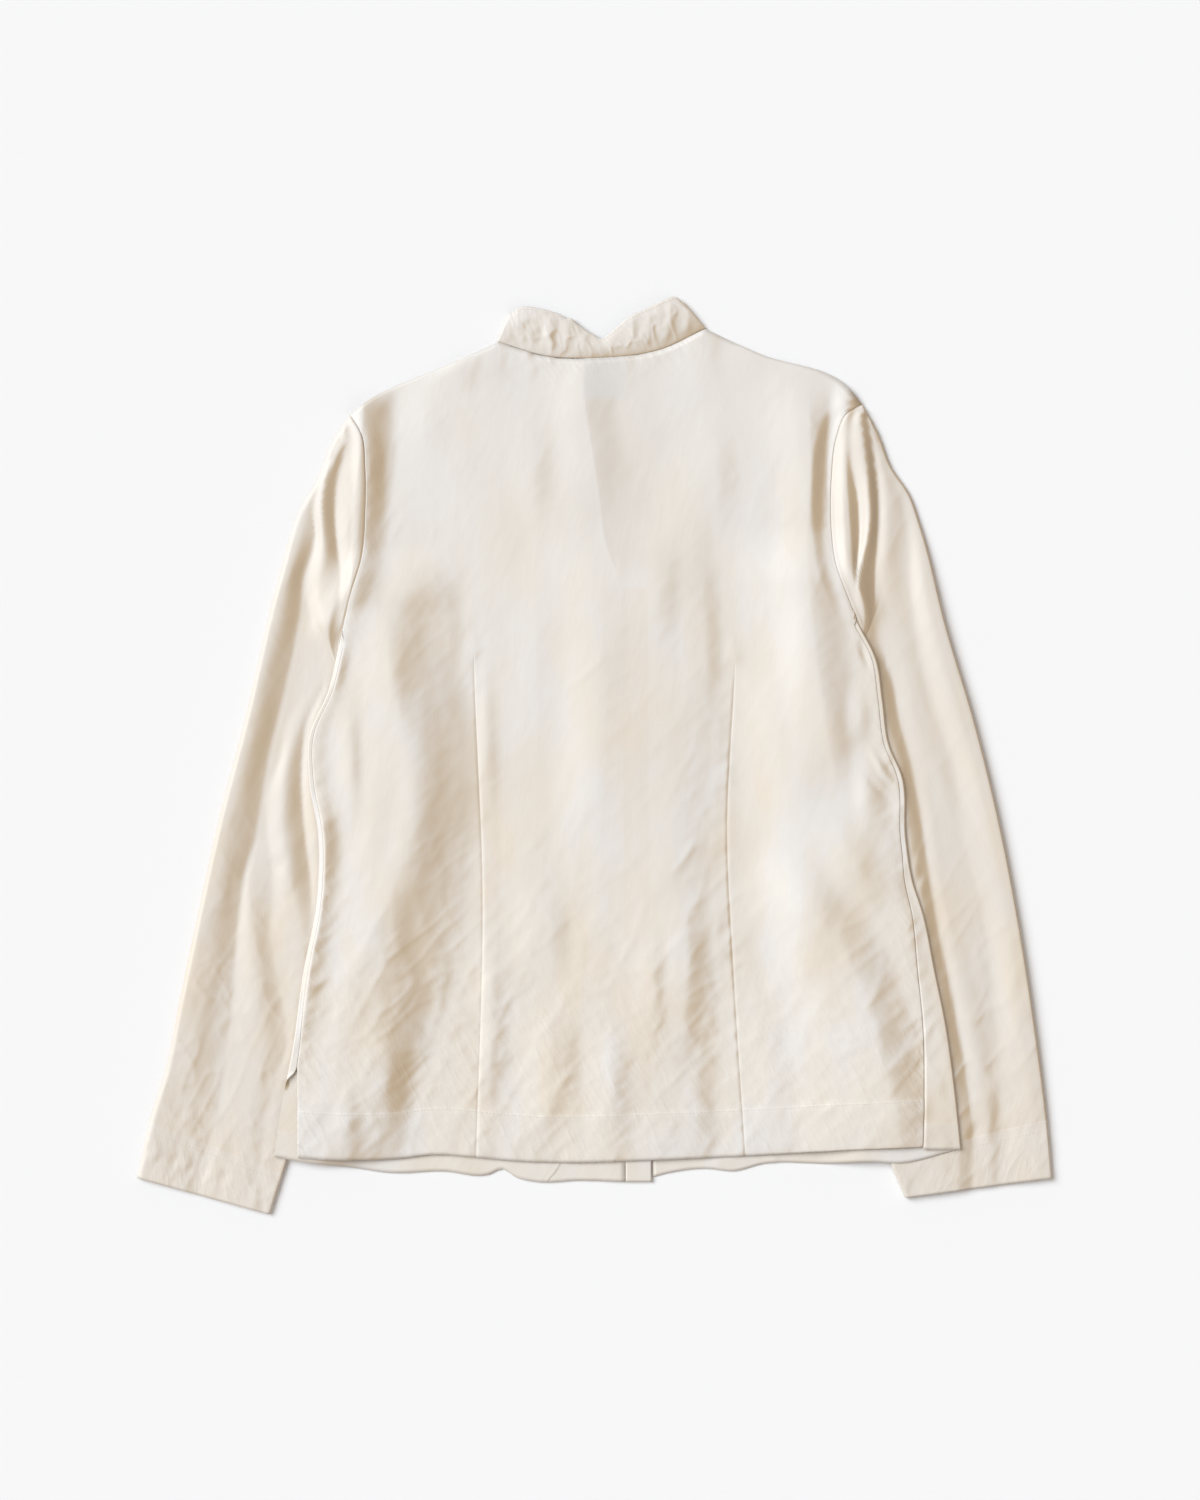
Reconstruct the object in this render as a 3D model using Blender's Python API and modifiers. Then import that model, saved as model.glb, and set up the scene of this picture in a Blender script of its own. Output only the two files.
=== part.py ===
"""Silk blouse laid out flat, front side down, with its back panel up.

Sizes are in millimetres and the meshes are made in metres. +Y runs from the hem to the
collar, +X toward the wearer's right sleeve and +Z up from the surface the blouse lies on.
The origin is under the middle of the garment. Every cut piece is one cloth wall: a grid of
points worked out from its outline and its folds, given its thickness by Solidify.

From the surface up lie the two sleeves' lower walls and the fronts, the sleeves' upper
walls, and the back panel. The inner edge of each sleeve is tucked under the body, so the
body rises over it. Each front wraps round the side of the body to a side seam on top.
"""

import math
from typing import NamedTuple

import bmesh
import bpy
import numpy as np

MM = 0.001

# --- Cloth -----------------------------------------------------------------------------
WALL = 1.0              # thickness of every cloth wall
SEAM = 0.4              # clear gap in plan between two pieces sewn edge to edge
FLOOR_PLY = 0.5 * WALL  # mid-surface of a wall that lies on the surface
FOLD_RADIUS = 0.95      # of a wall folded back on itself, to its mid-surface
LIFT = 2.0 * FOLD_RADIUS            # between the mid-surfaces of a lower and an upper wall
PRESSED = WALL + 0.3                # the same where two walls are pressed together
AIR = 0.8               # extra height of the back panel over its middle

# --- Body ------------------------------------------------------------------------------
TUCK_RISE = 3.8         # the body rises this much over the inner edge of a sleeve
TUCK_FLAT = 18.0        # it stays up this far past the sleeve's edge
TUCK_END = 58.0         # and is down again here
BACK_SPARE = 12.0       # the back panel stays up this much further in than the fronts
COVER_START = 6.0       # a sleeve's folds start this far outside the body's edge
COVER_END = 24.0        # and have their full height from here
CLEAR_GAIN = 45.0       # a sleeve's rings leave the armhole at least this fast
CLEAR_FADE = 60.0       # height above the underarm over which they bend out round it
UNDERARM_HOLD = 32.0    # height above the underarm that keeps the body's rise
UNDERARM_END = 78.0     # height above the underarm where the rise has gone
FLAT_LIP = 2.0          # end of a front's outer columns where it isn't folded round
EDGE_CALM = (2.0, 16.0)  # folds of the back grow between these distances from its side edges
SHOULDER_PRESS = (0.93, 1.0)    # shares of the back's height between which it is pressed down
NECK_RELEASE = 15.0     # but not beside the neck, which takes this far to come down

# --- Placket and buttons -----------------------------------------------------------------
BUTTON_DIAMETER = 10.0
BUTTON_THICKNESS = 1.2
BUTTON_COUNT = 6
BUTTON_PITCH = 75.0
FIRST_BUTTON_Y = 112.0
BUTTON_LIFT = BUTTON_THICKNESS + 0.3    # the placket lies on its buttons
PLACKET_TOP_Y = 129.0
PLACKET_LEFT_X = (24.0, 21.0)           # of its left edge, at the hem and at the top
PLACKET_WIDTH = 20.0
PLACKET_HEM_Y = -328.0
PLACKET_ROWS = 25
CENTRE_FADE = 40.0      # how far a front takes to come down from the placket
BACK_BUMP = 2.0         # the back panel's rise over the placket
BACK_BUMP_HALF = 23.0   # half width of its level top
BACK_BUMP_FADE = 45.0
LIFT_FADE_HEM = (8.0, 18.0)     # from the hem up, and from the last button down
LIFT_FADE_TOP = (8.0, 30.0)     # the lift goes from below the placket's top to above it
OVERLAP_FADE = 35.0     # the left front comes down over this height above its placket
BUMP_FADE_TOP = 60.0    # and the back's rise over this height
PLACKET_EASE = 4.0      # a front keeps its placket's height this far out
RIGHT_HEM_STEP = 4.0    # the right placket ends this much above the left one

# --- Sleeves -----------------------------------------------------------------------------
SLEEVE_RINGS = 20
RIM_INSET = 8.0         # the puffed outer edge crests this far inside the outline
RIM_FALL = 24.0         # and falls away over this width
RIM_HEIGHT = 3.6
RIM_ROUND = 5.0         # width of its rounding down to the edge
FLOOR_ROUND = 1.6       # width of the lower wall's turn up to the edge
RIM_START = (0.02, 0.2)     # shares of the sleeve's length between which the rim rises
SPAN_TOP = 11           # columns across the upper wall, between its rounded edges
SPAN_FLOOR = 8          # and across the lower wall

# --- Grid counts ---------------------------------------------------------------------------
BODY_ROWS = 22          # from hem to underarm
ARMHOLE_ROWS = 8        # from underarm to shoulder tip
SIDE_COLUMNS = 10       # between a dart and the side of the back
NECK_COLUMNS = 10       # along the back neck
TURN_COLUMNS = 4        # round a folded side edge
DART_HALF_WIDTH = 3.0
DART_HEIGHT = 0.7
DART_FADE = 30.0        # length of a dart's tip
FRONT_FRACTIONS = (0.0, 0.03, 0.09, 0.16, 0.32, 0.48, 0.62, 0.70, 0.78, 0.86, 0.93, 1.0)

# --- Outlines, each a table with columns (x, y) -----------------------------------------
SHOULDER_LEFT = ((-188, 262), (-171, 275), (-119, 298), (-74, 318))
NECK_BACK = ((-74, 318), (-36, 307), (4, 306), (50, 312), (85, 328))
SHOULDER_RIGHT = ((85, 328), (127, 309), (193, 285), (206, 270))
BACK_HEM = ((-228, -309), (-151, -310), (-91, -309), (20, -312), (116, -308), (251, -300))
FRONT_HEM_LEFT = ((-246, -308), (-187, -316), (-116, -321), (-72, -320), (-46, -328), (24, -328))
FRONT_HEM_RIGHT = ((43, -325), (58, -321), (105, -319), (180, -314), (281, -302))
DART_LEFT = ((-91, -309), (-86, -107), (-93, 81), (-93, 310))
DART_RIGHT = ((116, -308), (107, -168), (102, -60), (108, 70), (108, 317))
DART_TIP_LEFT_Y = 92.0
DART_TIP_RIGHT_Y = 105.0
NECKLINE_LEFT = ((21, 129), (4, 197), (-3, 243), (-27, 256), (-57, 285), (-74, 318))
NECKLINE_RIGHT = ((41, 129), (47, 189), (57, 243), (74, 270), (83, 297), (85, 328))


class Side(NamedTuple):
    """One half of the garment: its outlines with columns (x, y) and its side seam."""

    sign: int               # -1 on the left as laid out, +1 on the right
    armhole: tuple          # from the shoulder tip to the underarm
    edge: tuple             # silhouette of the body, from the underarm to the hem
    seam: tuple             # rows (y, inset of the side seam from the silhouette)
    roll: tuple             # rows (y, 0 where the front lies open, 1 where it is folded round)
    sleeve_outer: tuple     # from the shoulder tip to the cuff
    sleeve_inner: tuple     # from the underarm to the cuff


LEFT = Side(
    sign=-1,
    armhole=((-188, 262), (-179, 247), (-176, 220), (-176, 190), (-179, 151), (-188, 120), (-196, 85)),
    edge=((-196, 85), (-204, 50), (-219, 14), (-219, -19), (-212, -60), (-213, -111),
          (-224, -170), (-232, -228), (-240, -267), (-246, -308)),
    seam=((-308, 18.0), (-267, 12.0), (-237, 5.5), (-194, 3.5), (60, 3.0), (85, 3.6), (100, 1.0)),
    roll=((-308, 0.0), (-246, 0.0), (-240, 1.0), (88, 1.0), (100, 0.0)),
    sleeve_outer=((-188, 262), (-203, 238), (-213, 212), (-226, 190), (-241, 143), (-269, 27),
                  (-289, -50), (-306, -127), (-319, -188), (-330, -242), (-342, -281), (-352, -325)),
    sleeve_inner=((-196, 85), (-181, 43), (-171, -34), (-181, -111), (-198, -188), (-223, -265),
                  (-237, -312), (-250, -353)),
)
RIGHT = Side(
    sign=1,
    armhole=((206, 270), (193, 262), (186, 245), (182, 212), (182, 175), (185, 148), (195, 120),
             (203, 100)),
    edge=((203, 100), (216, 74), (221, 43), (226, 8), (236, -16), (239, -64), (244, -96),
          (252, -121), (261, -165), (269, -204), (277, -262), (281, -302)),
    seam=((-302, 29.0), (-262, 24.0), (-222, 19.0), (-137, 10.0), (-77, 4.0), (75, 3.0),
          (100, 3.6), (115, 1.0)),
    roll=((-302, 1.0), (103, 1.0), (115, 0.0)),
    sleeve_outer=((206, 270), (218, 248), (228, 222), (242, 201), (251, 176), (270, 101), (292, 27),
                  (311, -50), (326, -127), (338, -204), (348, -281), (352, -325)),
    sleeve_inner=((203, 100), (189, 43), (197, -34), (206, -111), (214, -188), (221, -265),
                  (228, -314), (239, -340)),
)


class Fold(NamedTuple):
    """One soft ridge: its crest with columns (x, y), its height and its reach to each side."""

    crest: tuple
    height: float
    left: float
    right: float


FOLD_END = 38.0         # a fold fades out over this length at each end of its crest

# Ridges at the armholes, shared by the back panel and the sleeve that is sewn to it.
ARMHOLE_FOLDS = (
    Fold(((-184, 300), (-181, 235), (-183, 197), (-185, 158), (-190, 100)), 3.4, 16, 26),
    Fold(((203, 310), (207, 235), (208, 197), (205, 162), (201, 100)), 4.2, 20, 12),
)
BACK_FOLDS = (
    Fold(((-163, 140), (-159, 58), (-144, -11), (-139, -50), (-147, -88), (-161, -134),
          (-181, -173), (-192, -211), (-215, -262)), 2.8, 34, 22),
    Fold(((-156, -180), (-159, -250), (-159, -370)), 1.6, 24, 20),
    Fold(((-94, 130), (-90, -34), (-87, -111), (-87, -188), (-90, -300)), 1.3, 30, 14),
    Fold(((-36, -60), (-35, -157), (-32, -234), (-30, -370)), 2.0, 32, 22),
    Fold(((26, -60), (32, -157), (26, -234), (23, -370)), 1.2, 26, 18),
    Fold(((90, 190), (91, 43), (89, -60)), 1.6, 34, 12),
    Fold(((120, -50), (131, -134), (137, -196), (142, -258), (145, -370)), 2.0, 26, 18),
    Fold(((158, -20), (187, -110), (209, -154), (220, -208), (232, -258), (241, -360)), 3.0, 48, 22),
    Fold(((163, 330), (164, 212), (170, 120), (178, 43), (181, -19), (175, -100)), 2.2, 26, 18),
    Fold(((-15, 340), (-7, 258), (3, 197), (13, 110)), 1.0, 26, 18),
)
SLEEVE_FOLDS = (
    Fold(((-206, 262), (-210, 197), (-210, 158), (-213, 112), (-207, 50)), 3.2, 14, 14),
    Fold(((-227, 70), (-234, 4), (-239, -34), (-238, -73), (-231, -119), (-224, -200)), 2.8, 16, 14),
    Fold(((-265, -80), (-264, -150), (-261, -196), (-250, -242), (-240, -310)), 2.2, 14, 16),
    Fold(((-284, -220), (-285, -304), (-284, -400)), 1.4, 12, 16),
    Fold(((262, 190), (268, 104), (283, 27), (296, -60)), 1.6, 20, 12),
    Fold(((274, 10), (288, -111), (301, -188), (306, -290)), 1.2, 20, 20),
)

# --- Collar, a table with columns (x, y, height of the free edge's mid-surface) -----------
COLLAR_FREE_EDGE = (
    (-70, 337, 3.0), (-59, 344, 4.0), (-46, 344, 4.4), (-30, 341, 4.0), (-14, 334, 3.4),
    (6, 321, 2.8), (18, 329, 3.4), (30, 338, 4.2), (46, 347, 4.6), (60, 354, 4.2), (75, 340, 3.0),
)
COLLAR_CROWN = 1.2      # the stand's belly above a straight line from seam to free edge
COLLAR_ROWS = 3
COLLAR_FRONT_END_Y = 245.0
COLLAR_FRONT_HEIGHTS = (6.0, 16.0, 20.0, 21.0)  # from its rounded end up to the side
COLLAR_TURN = (36.0, 72.0, 108.0, 144.0)        # angles of its columns round a side fold
LABEL_WIDTH = 33.0
LABEL_LENGTH = 32.0
LABEL_CENTRE = (7.0, 290.0)
LABEL_Z = 1.0

SILK = (0.86, 0.82, 0.74, 1.0)
PEARL = (0.88, 0.86, 0.80, 1.0)


# --- Curves and level functions ------------------------------------------------------------

def smoothstep(value, start, end):
    """Rise smoothly from 0 at start to 1 at end."""
    part = np.clip((value - start) / (end - start), 0.0, 1.0)
    return part * part * (3.0 - 2.0 * part)


def smooth_line(points, per_span=12):
    """Return a dense smooth curve through the points: a cubic with their mean slopes."""
    knots = np.array(points, dtype=float)
    lengths = np.linalg.norm(np.diff(knots, axis=0), axis=1)
    station = np.concatenate(([0.0], np.cumsum(lengths)))
    slopes = np.gradient(knots, station, axis=0)
    dense = np.linspace(0.0, station[-1], per_span * len(lengths) + 1)
    span = np.clip(np.searchsorted(station, dense, side="right") - 1, 0, len(lengths) - 1)
    step = lengths[span][:, None]
    part = ((dense - station[span]) / lengths[span])[:, None]
    start_weight = 2 * part**3 - 3 * part**2 + 1
    curve = start_weight * knots[span] + (1 - start_weight) * knots[span + 1]
    curve += step * (part**3 - 2 * part**2 + part) * slopes[span]
    curve += step * (part**3 - part**2) * slopes[span + 1]
    return curve


def x_at(line, y):
    """Read a curve's x at the height y."""
    order = np.argsort(line[:, 1], kind="stable")
    return np.interp(y, line[order, 1], line[order, 0])


def y_at(line, x):
    """Read a curve's y at the place x."""
    order = np.argsort(line[:, 0], kind="stable")
    return np.interp(x, line[order, 0], line[order, 1])


def along(line, fractions):
    """Read points at fractions of a curve's length."""
    lengths = np.linalg.norm(np.diff(line, axis=0), axis=1)
    station = np.concatenate(([0.0], np.cumsum(lengths)))
    place = np.asarray(fractions) * station[-1]
    return np.stack([np.interp(place, station, line[:, k]) for k in range(line.shape[1])], axis=-1)


def relief(folds, x, y):
    """Sum the folds' heights: each a raised cosine across its crest, faded at its ends."""
    total = np.zeros_like(x)
    for fold in folds:
        crest = smooth_line(fold.crest)
        offset = x - x_at(crest, y)
        reach = np.where(offset < 0.0, fold.left, fold.right)
        across = 0.5 + 0.5 * np.cos(np.pi * np.clip(offset / reach, -1.0, 1.0))
        low, high = crest[:, 1].min(), crest[:, 1].max()
        ends = smoothstep(y, low, low + FOLD_END) * (1.0 - smoothstep(y, high - FOLD_END, high))
        total += fold.height * across * ends
    return total


def underarm_y(side):
    """Return the height of the underarm point."""
    return side.edge[0][1]


def side_heights(side):
    """Return the y of each row on one side, from the hem past the underarm to the shoulder."""
    hem, tip = side.edge[-1][1], side.armhole[0][1]
    lower = np.linspace(hem, underarm_y(side), BODY_ROWS + 1)
    upper = np.linspace(underarm_y(side), tip, ARMHOLE_ROWS + 1)
    return np.concatenate([lower, upper[1:]])


def row_shares(side):
    """Return each row's share of the side's height."""
    y = side_heights(side)
    return (y - y[0]) / (y[-1] - y[0])


def body_edge(side):
    """Return one side of the body, one point a row: its silhouette, then the armhole."""
    outline = np.vstack([smooth_line(side.armhole), smooth_line(side.edge)])
    y = side_heights(side)
    return np.stack([x_at(outline, y), y], axis=-1)


def armhole_line(side):
    """Return the armhole from the shoulder tip to the underarm, as the body's rows have it."""
    return body_edge(side)[BODY_ROWS:][::-1]


def tuck_rise(x, y, spare=0.0):
    """Return how much the body rises over the tucked inner edges of both sleeves.

    spare carries the rise that much further in, for the panel on top.
    """
    total = np.zeros_like(x)
    for side in (LEFT, RIGHT):
        sleeve_edge = np.vstack([smooth_line(side.armhole), smooth_line(side.sleeve_inner)])
        inside = side.sign * (x_at(sleeve_edge, y) - x)
        across = 1.0 - smoothstep(inside, TUCK_FLAT + spare, TUCK_END + spare)
        above = y - underarm_y(side)
        total += TUCK_RISE * across * (1.0 - smoothstep(above, UNDERARM_HOLD, UNDERARM_END))
    return total


def button_lift(y):
    """Return the placket's height over its buttons, which fades out at its ends."""
    last_button_y = FIRST_BUTTON_Y - (BUTTON_COUNT - 1) * BUTTON_PITCH
    hem_end = smoothstep(y, PLACKET_HEM_Y + LIFT_FADE_HEM[0], last_button_y - LIFT_FADE_HEM[1])
    top_end = smoothstep(y, PLACKET_TOP_Y - LIFT_FADE_TOP[0], PLACKET_TOP_Y + LIFT_FADE_TOP[1])
    return BUTTON_LIFT * hem_end * (1.0 - top_end)


def placket_lift(side, y):
    """Return how high a placket lies: the left one lies on the right one."""
    overlap = PRESSED if side.sign < 0 else 0.0
    above = smoothstep(y, PLACKET_TOP_Y, PLACKET_TOP_Y + OVERLAP_FADE)
    return button_lift(y) + overlap * (1.0 - above)


def placket_edge_x(y):
    """Return the x of the placket's left edge at a height."""
    return np.interp(y, (PLACKET_HEM_Y, PLACKET_TOP_Y), PLACKET_LEFT_X)


def front_level(side, x, y):
    """Return a front's mid-surface: on the surface, over the sleeve, up to its placket."""
    inner = placket_edge_x(y) + (PLACKET_WIDTH if side.sign > 0 else 0.0)
    from_placket = side.sign * (x - inner)
    centre = placket_lift(side, y) * (1.0 - smoothstep(from_placket, PLACKET_EASE, CENTRE_FADE))
    return FLOOR_PLY + tuck_rise(x, y) + centre


def back_level(x, y, middle):
    """Return the back panel's mid-surface over the fronts, the placket and its folds.

    middle is 1 over the middle of the panel and 0 at its edges.
    """
    centre_x = placket_edge_x(y) + 0.5 * PLACKET_WIDTH
    bump = 1.0 - smoothstep(np.abs(x - centre_x), BACK_BUMP_HALF, BACK_BUMP_HALF + BACK_BUMP_FADE)
    bump *= 1.0 - smoothstep(y, PLACKET_TOP_Y, PLACKET_TOP_Y + BUMP_FADE_TOP)
    inside = np.minimum(x - x_at(body_edge(LEFT), y), x_at(body_edge(RIGHT), y) - x)
    calm = smoothstep(inside, *EDGE_CALM)
    level = FLOOR_PLY + LIFT + AIR * middle + tuck_rise(x, y, BACK_SPARE) + BACK_BUMP * bump
    return level + calm * relief(BACK_FOLDS, x, y) + relief(ARMHOLE_FOLDS, x, y)


def coons(bottom, top, left, right, rows):
    """Fill a four-sided outline: the sum of its two ruled surfaces less its corners' plane.

    Each border is an array of points, bottom and top from left to right, left and right
    from bottom to top. rows gives the share of the height at each row.
    """
    run = np.linalg.norm(np.diff(bottom, axis=0), axis=1)
    columns = np.concatenate(([0.0], np.cumsum(run))) / run.sum()
    u = columns[None, :, None]
    v = rows[:, None, None]
    across = (1 - u) * left[:, None, :] + u * right[:, None, :]
    upward = (1 - v) * bottom[None, :, :] + v * top[None, :, :]
    corners = (1 - v) * ((1 - u) * bottom[0] + u * bottom[-1])
    corners += v * ((1 - u) * top[0] + u * top[-1])
    return across + upward - corners


# --- Pieces: each function returns a grid of points, (rows, columns, 3) --------------------

def back_side(side):
    """Return the back panel's side border: the side seam, then the armhole."""
    y = side_heights(side)
    inset = np.interp(y, *np.array(side.seam).T) + SEAM
    above = y - underarm_y(side)
    inset = np.where(above > UNDERARM_HOLD, 0.5 * SEAM, inset)
    return np.stack([x_at(body_edge(side), y) - side.sign * inset, y], axis=-1)


def neck_columns():
    """Return the x of the back neck's columns, both side neck points among them."""
    neck = smooth_line(NECK_BACK)
    return along(neck, np.linspace(0.0, 1.0, NECK_COLUMNS + 1))[:, 0]


def top_line():
    """Return the back panel's top border: shoulder, neck, shoulder."""
    parts = [smooth_line(points) for points in (SHOULDER_LEFT, NECK_BACK, SHOULDER_RIGHT)]
    return np.vstack(parts)


def border(line, x):
    """Return the points of a border at the given x."""
    return np.stack([x, y_at(line, x)], axis=-1)


def dart_border(points, offset, rows):
    """Return a line beside a dart, one point a row."""
    line = smooth_line(points)
    y = line[0, 1] + rows * (line[-1, 1] - line[0, 1])
    return np.stack([x_at(line, y) + offset, y], axis=-1)


def dart_ledge(x, y):
    """Return the height of the two stitched darts, which end at their tips."""
    total = np.zeros_like(x)
    for points, tip in ((DART_LEFT, DART_TIP_LEFT_Y), (DART_RIGHT, DART_TIP_RIGHT_Y)):
        offset = np.abs(x - x_at(smooth_line(points), y))
        ledge = np.clip(1.0 - offset / DART_HALF_WIDTH, 0.0, 1.0)
        total += DART_HEIGHT * ledge * (1.0 - smoothstep(y, tip - DART_FADE, tip))
    return total


def back_grid():
    """Build the back panel in five strips that share the borders along its two darts."""
    rows = row_shares(LEFT)
    hem, top = smooth_line(BACK_HEM), top_line()
    width = DART_HALF_WIDTH
    guides = [back_side(LEFT)]
    guides += [dart_border(DART_LEFT, offset, rows) for offset in (-width, width)]
    guides += [dart_border(DART_RIGHT, offset, rows) for offset in (-width, width)]
    guides += [back_side(RIGHT)]
    counts = (SIDE_COLUMNS, 2, NECK_COLUMNS + 2, 2, SIDE_COLUMNS)
    strips = []
    for left, right, count in zip(guides[:-1], guides[1:], counts):
        bottom = border(hem, np.linspace(left[0, 0], right[0, 0], count + 1))
        if count == NECK_COLUMNS + 2:
            upper_x = np.concatenate([[left[-1, 0]], neck_columns(), [right[-1, 0]]])
        else:
            upper_x = np.linspace(left[-1, 0], right[-1, 0], count + 1)
        upper = border(top, upper_x)
        for edge, column in ((left, 0), (right, -1)):
            edge[0], edge[-1] = bottom[column], upper[column]
        strip = coons(bottom, upper, left, right, rows)
        strips.append(strip if not strips else strip[:, 1:])
    plan = np.concatenate(strips, axis=1)
    x, y = plan[..., 0], plan[..., 1]
    u = np.linspace(0.0, 1.0, plan.shape[1])[None, :]
    v = rows[:, None]
    middle = np.sqrt(16.0 * u * (1.0 - u) * v * (1.0 - v))
    z = back_level(x, y, middle) + dart_ledge(x, y)
    beside_neck = np.maximum(SHOULDER_LEFT[-1][0] - x, x - SHOULDER_RIGHT[0][0])
    pressed = smoothstep(v, *SHOULDER_PRESS) * smoothstep(beside_neck, 0.0, NECK_RELEASE)
    z -= (LIFT - PRESSED) * pressed
    return np.stack([x, y, z], axis=-1)


def front_neckline(side):
    """Return a front's inner border: its placket seam, then the neckline, one point a row."""
    neckline = smooth_line(NECKLINE_LEFT if side.sign < 0 else NECKLINE_RIGHT)
    hem_y = PLACKET_HEM_Y if side.sign < 0 else FRONT_HEM_RIGHT[0][1]
    y = hem_y + row_shares(side) * (neckline[-1, 1] - hem_y)
    seam = placket_edge_x(y) + (PLACKET_WIDTH if side.sign > 0 else 0.0)
    x = np.where(y < PLACKET_TOP_Y, seam, x_at(neckline, y))
    return np.stack([x + side.sign * 0.5 * SEAM, y], axis=-1)


def front_grid(side):
    """Build a front: flat to the side, round the side edge and back to the side seam.

    The outer columns follow an arc of fixed length whose turning angle is the row's roll
    times half a turn, so that they lie flat beside the armhole and an open vent.
    """
    y = side_heights(side)
    rows = row_shares(side)
    roll = np.interp(y, *np.array(side.roll).T)
    inset = np.interp(y, *np.array(side.seam).T)
    wrap = np.where(roll > 0.5, inset - FOLD_RADIUS, FLAT_LIP)
    angle = np.maximum(math.pi * roll, 0.01)
    radius = math.pi * FOLD_RADIUS / angle
    flat_reach = radius * np.sin(angle) + wrap * np.cos(angle)
    reach = np.where(angle < 0.5 * math.pi, flat_reach, radius)
    armhole_gap = np.where(y > underarm_y(side), 0.5 * SEAM, 0.0)
    start = x_at(body_edge(side), y) - side.sign * (reach + armhole_gap)
    outer = np.stack([start, y], axis=-1)
    inner = front_neckline(side)
    fractions = np.array(FRONT_FRACTIONS)
    hem = smooth_line(FRONT_HEM_LEFT if side.sign < 0 else FRONT_HEM_RIGHT)
    shoulder = smooth_line(SHOULDER_LEFT if side.sign < 0 else SHOULDER_RIGHT)
    bottom = border(hem, inner[0, 0] + fractions * (outer[0, 0] - inner[0, 0]))
    upper = border(shoulder, inner[-1, 0] + fractions * (outer[-1, 0] - inner[-1, 0]))
    upper[:, 1] += fractions * (outer[-1, 1] - upper[-1, 1])
    inner[0], inner[-1] = bottom[0], upper[0]
    outer[0] = bottom[-1]
    plan = coons(bottom, upper, inner, outer, rows)
    z = front_level(side, plan[..., 0], plan[..., 1])
    flat = np.concatenate([plan, z[..., None]], axis=-1)
    columns = []
    for k in range(1, TURN_COLUMNS + 1):
        turn = angle * k / TURN_COLUMNS
        columns.append((radius * np.sin(turn), radius * (1.0 - np.cos(turn))))
    last_out, last_up = columns[-1]
    columns.append((last_out + wrap * np.cos(angle), last_up + wrap * np.sin(angle)))
    turned = [np.stack([outer[:, 0] + side.sign * out, outer[:, 1], z[:, -1] + up], axis=-1)
              for out, up in columns]
    return np.concatenate([flat, np.stack(turned, axis=1)], axis=1)


def placket_grid(side):
    """Build the band along one front's centre edge, three columns wide."""
    hem_y = PLACKET_HEM_Y + (RIGHT_HEM_STEP if side.sign > 0 else 0.0)
    y = np.linspace(hem_y, PLACKET_TOP_Y, PLACKET_ROWS + 1)
    left = placket_edge_x(y) + 0.5 * SEAM
    x = left[:, None] + np.linspace(0.0, PLACKET_WIDTH - SEAM, 3)[None, :]
    z = FLOOR_PLY + placket_lift(side, y)
    return np.stack(np.broadcast_arrays(x, y[:, None], z[:, None]), axis=-1)


def ring_profile(width):
    """Return a sleeve ring's points for each ring's width.

    The first array is each point's distance from the outer edge, (rings, points). The
    second is its height: 1 on the upper wall, 0 at the edges and -1 on the lower wall.
    """
    inner = width - FOLD_RADIUS
    place, height = [], []
    for angle in np.radians((0.0, 22.5, 45.0, 67.5, 90.0)):
        place.append(np.full_like(width, RIM_ROUND * (1.0 - np.cos(angle))))
        height.append(np.sin(angle))
    for k in range(1, SPAN_TOP + 1):
        place.append(RIM_ROUND + (inner - RIM_ROUND) * k / SPAN_TOP)
        height.append(1.0)
    for angle in np.radians((45.0, 0.0, -45.0, -90.0)):
        place.append(inner + FOLD_RADIUS * np.cos(angle))
        height.append(np.sin(angle))
    for k in range(1, SPAN_FLOOR + 1):
        place.append(inner - (inner - FLOOR_ROUND) * k / SPAN_FLOOR)
        height.append(-1.0)
    half_turn = np.radians(45.0)
    place.append(np.full_like(width, FLOOR_ROUND * (1.0 - np.cos(half_turn))))
    height.append(-np.sin(half_turn))
    return np.stack(place, axis=1), np.array(height)


def round_the_underarm(side, x, y, clear):
    """Move each ring of a sleeve out, so that it passes outside the underarm point.

    The move is what the ring lacks at the underarm's height. It fades out above that
    height, and below it down to the ring's own inner end.
    """
    corner_x, corner_y = side.edge[0]
    across = slice(0, SPAN_TOP + 7)
    crossing = np.array([np.interp(corner_y, ring_y[across][::-1], ring_x[across][::-1])
                         for ring_x, ring_y in zip(x, y)])
    lack = np.maximum(side.sign * (corner_x - crossing) + clear, 0.0)
    lack[0] = 0.0
    below = smoothstep(y, np.minimum(y.min(axis=1), corner_y - 1.0)[:, None], corner_y)
    above = 1.0 - smoothstep(y, corner_y, corner_y + CLEAR_FADE)
    return x + side.sign * lack[:, None] * below * above


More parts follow.
